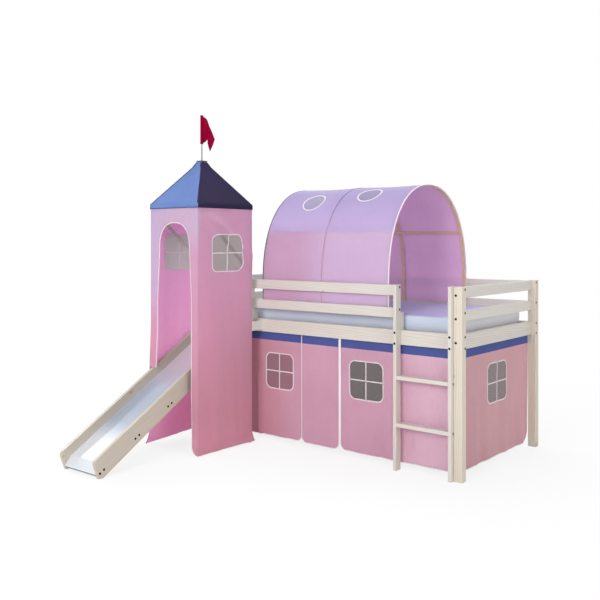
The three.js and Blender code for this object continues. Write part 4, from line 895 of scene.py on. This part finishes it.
# Seam tapes over the middle hoop's left edge and down the cloth's left edge. Where they turn dark, they are
# painted shade of the sleeve's edge and the rim
seamX, seamEnd = tunnel["hoops"][1] + tunnel["seamShift"], tunnel["seamEnd"]
seamLines = [([(seamX, seamEnd), (seamX, tunnelLength - seamEnd)], False), (leftEdge, False)]
coverTrims = [sewTapes("tunnelPiping", edgeLines, onTunnel, tunnel["piping"], paleBinding),
              sewTapes("tunnelSeams", seamLines, onTunnel, tunnel["seam"], mauveBindingPaintedShade)]
coverTrims += [hangNet(f"tunnelNet{number}", loop, onTunnel, roundNet)
               for number, loop in enumerate(portholes, 1)]
print("tunnel tent stretched")


# Flag: a sleeve over the pole and a cloth that hangs limp from it
flag = {
    "x": -0.7183, "y": -0.22247, "top": 2.26, "turn": math.radians(25), "hoist": 0.198, "fly": 0.18,
    "drop": 0.184, "sleeveX": 0.0102, "sleeveY": 0.0068, "sleeveColumns": 20, "sleeveRows": 12,
    "sleeveEnd": 0.0008, "thickness": 0.0012, "columns": 26, "rows": 22, "flat": (0.235, 0.198),
    "ripple": 0.006, "wave": (6.5, 3.5),
    # knots down the upper and the lower edge: distance out, drop, and aside
    "upper": [(0.0095, 0.008, 0), (0.036, 0.03, 0.004), (0.054, 0.07, -0.005), (0.074, 0.12, 0.004),
              (0.095, 0.168, 0)],
    "lower": [(0.0095, 0.192, 0), (0.026, 0.18, 0.009), (0.044, 0.17, -0.008), (0.052, 0.2, -0.024),
              (0.063, 0.254, -0.008)]}


def splineAt(knots, share):
    spans = len(knots) - 1
    i = min(int(share * spans), spans - 1)
    t = share * spans - i
    p = [Vector(knots[min(max(i + k, 0), spans)]) for k in (-1, 0, 1, 2)]
    return 0.5 * (2 * p[1] + (p[2] - p[0]) * t + (2 * p[0] - 5 * p[1] + 4 * p[2] - p[3]) * t * t
                  + (3 * p[1] - p[0] - 3 * p[2] + p[3]) * t ** 3)


def flagPlace(out, drop, aside):
    cosine, sine = math.cos(flag["turn"]), math.sin(flag["turn"])
    return (flag["x"] + out * cosine - aside * sine, flag["y"] + out * sine + aside * cosine,
            flag["top"] - drop)


def buildFlag():
    columns, rows, around = flag["columns"], flag["rows"], flag["sleeveColumns"]
    outwards, downwards = flag["wave"]
    points, flat, hems = [], [], []
    for j in range(rows + 1):
        down = j / rows
        for i in range(columns + 1):
            along = i / columns
            spot = splineAt(flag["upper"], along).lerp(splineAt(flag["lower"], along), down)
            wave = math.sin(outwards * along + downwards * down)
            spot.z += flag["ripple"] * along * math.sin(math.pi * down) * wave
            points.append(flagPlace(*spot))
            flat.append((flag["fly"] * along, flag["drop"] * down))
            hems.append((min(flag["fly"] * (1 - along), flag["drop"] * down, flag["drop"] * (1 - down)), 0.0))
    faces = gridFaces(0, rows, columns + 1, closed=False) + gridFaces(len(points), flag["sleeveRows"], around)
    for j in range(flag["sleeveRows"] + 1):
        drop = flag["sleeveEnd"] + (flag["hoist"] - 2 * flag["sleeveEnd"]) * j / flag["sleeveRows"]
        for i in range(around):
            angle = 2 * math.pi * i / around
            points.append(flagPlace(flag["sleeveX"] * math.cos(angle), drop, flag["sleeveY"] * math.sin(angle)))
            flat.append((0.01 * angle, 0.2 + drop))
            hems.append((min(drop, flag["hoist"] - drop), 0.0))
    return closeCloth("flagCloth", points, [face[::-1] for face in faces], flat, hems, [crimsonCotton],
                      flag["thickness"])


flagCloth = buildFlag()
settle(flagCloth, "flag", "flag")
print("flag hung")


# Mattress: foam in a plain pale cover, piped round both edges
mattress = {
    "halfX": 1.0, "front": 0.201, "rear": 1.101, "foot": 0.8336, "top": 0.951, "corner": 0.032, "edge": 0.02,
    "crown": 0.013, "swell": 0.007, "swellHeight": 0.05, "swellX": (0.9, 1.0), "swellY": (0.8, 1.0),
    "pipe": 0.0042, "pipeInset": 0.0055, "tall": 0.05, "near": 0.001, "cutGap": 0.1,
    "sideCuts": (-0.015, 0.0, 0.015)}
brim = mattress["top"] - mattress["crown"]


def selectIn(obj, kind, wanted):
    # kind is edges or polygons. It starts and ends in edit mode
    bpy.ops.mesh.select_all(action="DESELECT")
    bpy.ops.object.mode_set(mode="OBJECT")
    for part in getattr(obj.data, kind):
        part.select = wanted(part)
    bpy.ops.object.mode_set(mode="EDIT")


def mapCover(mesh, steep):
    # The cloth runs flat where a face's normal stands steeper than steep, and round the sides elsewhere
    level = {i for polygon in mesh.polygons if abs(polygon.normal.z) > steep for i in polygon.loop_indices}

    def flatAt(corner):
        x, y, z = mesh.vertices[corner.vertex_index].co
        return (x, y) if corner.index in level else (x + y, z)

    mapCloth(mesh, flatAt)


def buildMattress():
    bpy.ops.object.select_all(action="DESELECT")
    middleY, middleZ = (mattress["front"] + mattress["rear"]) / 2, (mattress["foot"] + mattress["top"]) / 2
    depth = mattress["rear"] - mattress["front"]
    bpy.ops.mesh.primitive_cube_add(size=1)
    obj = bpy.context.object
    obj.name = obj.data.name = "mattressBody"
    obj.data.transform(Matrix.Translation((0, middleY, middleZ - mattress["crown"] / 2)) @ Matrix.Diagonal(
        (2 * mattress["halfX"], depth, brim - mattress["foot"], 1)))

    def heights(edge):
        return [obj.data.vertices[i].co.z for i in edge.vertices]

    bpy.ops.object.mode_set(mode="EDIT")
    bpy.ops.mesh.select_mode(type="EDGE")
    selectIn(obj, "edges", lambda edge: max(heights(edge)) - min(heights(edge)) > mattress["tall"])
    bpy.ops.mesh.bevel(offset=mattress["corner"], segments=7, affect="EDGES")
    for level in (mattress["foot"], brim):
        selectIn(obj, "edges", lambda edge: all(abs(z - level) < mattress["near"] for z in heights(edge)))
        bpy.ops.mesh.bevel(offset=mattress["edge"], segments=4, affect="EDGES")
    cuts = [((x / 10, 0, 0), (1, 0, 0)) for x in range(-9, 10)]
    cuts += [((0, mattress["front"] + mattress["cutGap"] * i, 0), (0, 1, 0)) for i in range(1, 9)]
    cuts += [((0, 0, middleZ + shift), (0, 0, 1)) for shift in mattress["sideCuts"]]
    for place, normal in cuts:
        bpy.ops.mesh.select_all(action="SELECT")
        bpy.ops.mesh.bisect(plane_co=place, plane_no=normal)
    bpy.ops.object.mode_set(mode="OBJECT")
    for vertex in obj.data.vertices:
        co = vertex.co
        shareX, shareY = co.x / mattress["halfX"], (co.y - middleY) / (depth / 2)
        if co.z > brim - 0.0006:
            co.z += mattress["crown"] * (1 - shareX ** 4) * (1 - shareY ** 4)
        push = mattress["swell"] * (1 - min(1.0, abs(co.z - middleZ) / mattress["swellHeight"]) ** 2)
        co.x += math.copysign(push, co.x) * smoothStep(*mattress["swellX"], abs(shareX))
        co.y += math.copysign(push, co.y - middleY) * smoothStep(*mattress["swellY"], abs(shareY))
    bpy.ops.object.shade_smooth_by_angle(angle=math.radians(40))
    obj.data.materials.append(ticking)
    mapCover(obj.data, 0.6)
    return obj


def buildPiping(name, loop, level, radius, material):
    curve = bpy.data.curves.new(name, "CURVE")
    curve.dimensions = "3D"
    curve.bevel_depth = radius
    curve.bevel_resolution = 2
    line = curve.splines.new("POLY")
    line.points.add(len(loop) - 1)
    for point, (x, y) in zip(line.points, loop):
        point.co = (x, y, level, 1)
    line.use_cyclic_u = True
    selectOnly(link(name, curve))
    bpy.ops.object.convert(target="MESH")
    obj = bpy.context.object
    mapCover(obj.data, 1)
    obj.data.materials.clear()
    obj.data.materials.append(material)
    bpy.ops.object.shade_smooth()
    return obj


mattressPiece = buildMattress()
settle(mattressPiece, standsFor="mattress")
inset = mattress["pipeInset"]
pipeLoop = roundedBox(-mattress["halfX"] + inset, mattress["halfX"] - inset, mattress["front"] + inset,
                      mattress["rear"] - inset, [mattress["corner"] - inset] * 4)
for number, level in ((1, mattress["foot"] + inset), (2, brim - inset)):
    settle(buildPiping(f"mattressPiping{number}", splitLoop(pipeLoop, 0.05), level, mattress["pipe"], ticking))
print("mattress laid")


# Bolts: round heads with a hexagon socket, sunk in the counterbores
bolt = {
    "radius": 0.0078, "height": 0.0012, "top": 0.0006, "bevel": 0.0009, "rim": 0.0012, "socket": 0.0036,
    "socketDepth": 0.0014, "near": 1e-5}


def buildBolt():
    top, nearTop = bolt["top"], bolt["top"] - bolt["near"]
    bpy.ops.object.select_all(action="DESELECT")
    bpy.ops.mesh.primitive_cylinder_add(vertices=20, radius=bolt["radius"], depth=bolt["height"])
    obj = bpy.context.object
    obj.name = "boltHead"
    obj.data.transform(Matrix.Translation((0, 0, top - bolt["height"] / 2)))
    bpy.ops.object.mode_set(mode="EDIT")
    bpy.ops.mesh.select_mode(type="FACE")
    selectIn(obj, "polygons", lambda polygon: polygon.center.z > nearTop)
    bpy.ops.mesh.bevel(offset=bolt["bevel"], segments=2, affect="EDGES")
    selectIn(obj, "polygons", lambda polygon: polygon.center.z > nearTop and polygon.normal.z > 0.9)
    bpy.ops.mesh.inset(thickness=bolt["rim"])
    bpy.ops.mesh.delete(type="FACE")
    bpy.ops.mesh.primitive_circle_add(vertices=6, radius=bolt["socket"], location=(0, 0, top))
    bpy.ops.mesh.select_mode(type="EDGE")
    bpy.ops.mesh.select_all(action="DESELECT")
    bpy.ops.mesh.select_non_manifold()
    bpy.ops.mesh.bridge_edge_loops()
    bpy.ops.mesh.select_all(action="DESELECT")
    bpy.ops.mesh.select_non_manifold()
    bpy.ops.mesh.extrude_region_move(TRANSFORM_OT_translate={"value": (0, 0, -bolt["socketDepth"])})
    bpy.ops.mesh.edge_face_add()
    bpy.ops.mesh.select_all(action="SELECT")
    bpy.ops.mesh.normals_make_consistent(inside=False)
    bpy.ops.object.mode_set(mode="OBJECT")
    bpy.ops.object.shade_smooth_by_angle(angle=math.radians(35))
    obj.data.materials.append(boltSteel)
    return obj


def seatBolts(name, seats, pattern):
    copies = []
    for place, facing in seats:
        mesh = pattern.data.copy()
        mesh.transform(Matrix.Translation(place) @ Vector(facing).to_track_quat("Z", "Y").to_matrix().to_4x4())
        copies.append(link(name, mesh))
    selectOnly(copies[0])
    for copy in copies:
        copy.select_set(True)
    bpy.ops.object.join()
    joined = bpy.context.object
    joined.name = name
    settle(joined)


# Rows of seats: their places along X, Y and Z, and the way that the heads face
railLevels, guardLevels, endLevels = (0.7725, 0.8385), (0.978, 1.1145), (0.8055, 0.944, 1.0805)
boltRows = {
    "boltsPosts": [((side * 1.0925,), (0.14153, 1.16053), railLevels + guardLevels, (side, 0, 0))
                   for side in (-1, 1)]
                  + [((-1.0525, 1.0525), (y,), endLevels, (0, facing, 0))
                     for y, facing in ((0.10353, -1), (1.19853, 1))],
    "boltsLadder": [((1.0262, 0.6522), (0.07523,), railLevels, (0, -1, 0)),
                    ((1.0372,), (0.10223,), (0.278, 0.566), (1, 0, 0)),
                    ((0.6632,), (0.11723,), guardLevels, (1, 0, 0))]}
slideBolt = {
    "toe": -1.16747, "first": 0.038, "gap": 0.305, "pairs": 5, "half": 0.017, "above": 0.024,
    "sides": ((-0.5935, 1), (-0.9435, -1))}
slideSeats = []
for x, facing in slideBolt["sides"]:
    for i in range(slideBolt["pairs"]):
        for half in (-slideBolt["half"], slideBolt["half"]):
            along, above = slideBolt["first"] + slideBolt["gap"] * i + half, slideBolt["above"]
            y = slideBolt["toe"] + along * math.cos(slideAngle) - above * math.sin(slideAngle)
            z = along * math.sin(slideAngle) + above * math.cos(slideAngle)
            slideSeats.append(((x, y, z), (facing, 0, 0)))
pattern = buildBolt()
for name, rows in boltRows.items():
    seatBolts(name, [(place, facing) for *axes, facing in rows for place in product(*axes)], pattern)
seatBolts("boltsSlide", slideSeats, pattern)
bpy.data.objects.remove(pattern)
print("bolts seated")


# Studio: pale floor, white behind, soft lamps and the photograph's camera
def anyRay(tree, *rays):
    path = addNode(tree, "LightPath").outputs
    seen = path[rays[0]]
    for ray in rays[1:]:
        seen = addNode(tree, "Math", {0: seen, 1: path[ray]}, operation="MAXIMUM")
    return seen


def buildFloor():
    bpy.ops.object.select_all(action="DESELECT")
    bpy.ops.mesh.primitive_plane_add(size=60)
    floor = bpy.context.object
    floor.name = "floor"
    material, tree, shader = startMaterial("floorPaper", 0.9)
    feed(tree, shader, {"Base Color": "#F4F4F4", "Specular IOR Level": 0.0})
    away = addNode(tree, "VectorMath", {0: addNode(tree, "TexCoord").outputs["Object"]}, operation="LENGTH")
    far = addNode(tree, "MapRange", {
        "Value": away, "From Min": 1.6, "From Max": 4.0, "To Min": 0.82, "To Max": 1.0})
    seen = anyRay(tree, "Is Camera Ray", "Is Glossy Ray")
    share = addNode(tree, "Math", {0: seen, 1: far}, operation="MULTIPLY")
    white = addNode(tree, "Emission", {"Color": "#FFFFFF", "Strength": 1.0})
    mixed = addNode(tree, "MixShader", {0: share, 1: shader, 2: white})
    feed(tree, tree.nodes["Material Output"], {"Surface": mixed})
    floor.data.materials.append(material)


buildFloor()
world = bpy.data.worlds.new("studio")
bpy.context.scene.world = world
world.use_nodes = True
tree = world.node_tree
through = anyRay(tree, "Is Camera Ray", "Is Glossy Ray", "Is Transmission Ray")
strength = addNode(tree, "MapRange", {"Value": through, "To Min": 0.5, "To Max": 1.0})
feed(tree, tree.nodes["Background"], {"Color": "#FFFFFF", "Strength": strength})

lamps = {
    "key": ((1.2, -6.0, 3.2), (0, 0.2, 0.9), 2.2, 195),
    "right": ((6.0, -2.0, 2.4), (0, 0.2, 0.9), 2.6, 82),
    "left": ((-6.0, -1.0, 2.6), (-0.7, 0.0, 0.9), 2.8, 165),
    "sky": ((-0.3, 2.0, 5.6), (0, 0.4, 0.9), 3.0, 125)}
for name, (place, aim, size, power) in lamps.items():
    lamp = bpy.data.lights.new(name, "AREA")
    lamp.size = size
    lamp.energy = power
    holder = link(name, lamp)
    holder.location = place
    holder.rotation_euler = (Vector(place) - Vector(aim)).to_track_quat("Z", "Y").to_euler()

lens = {"place": (3.2763, -4.03667, 1.4005), "turn": 39.3, "length": 47.826, "sensor": 36, "shiftY": -0.0995}
cameraData = bpy.data.cameras.new("camera")
cameraData.lens = lens["length"]
cameraData.sensor_width = lens["sensor"]
cameraData.shift_y = lens["shiftY"]
camera = link("camera", cameraData)
camera.location = lens["place"]
camera.rotation_euler = (quarter, 0, math.radians(lens["turn"]))
bpy.context.scene.camera = camera
bpy.context.scene.view_settings.view_transform = "Standard"
print("studio lit")
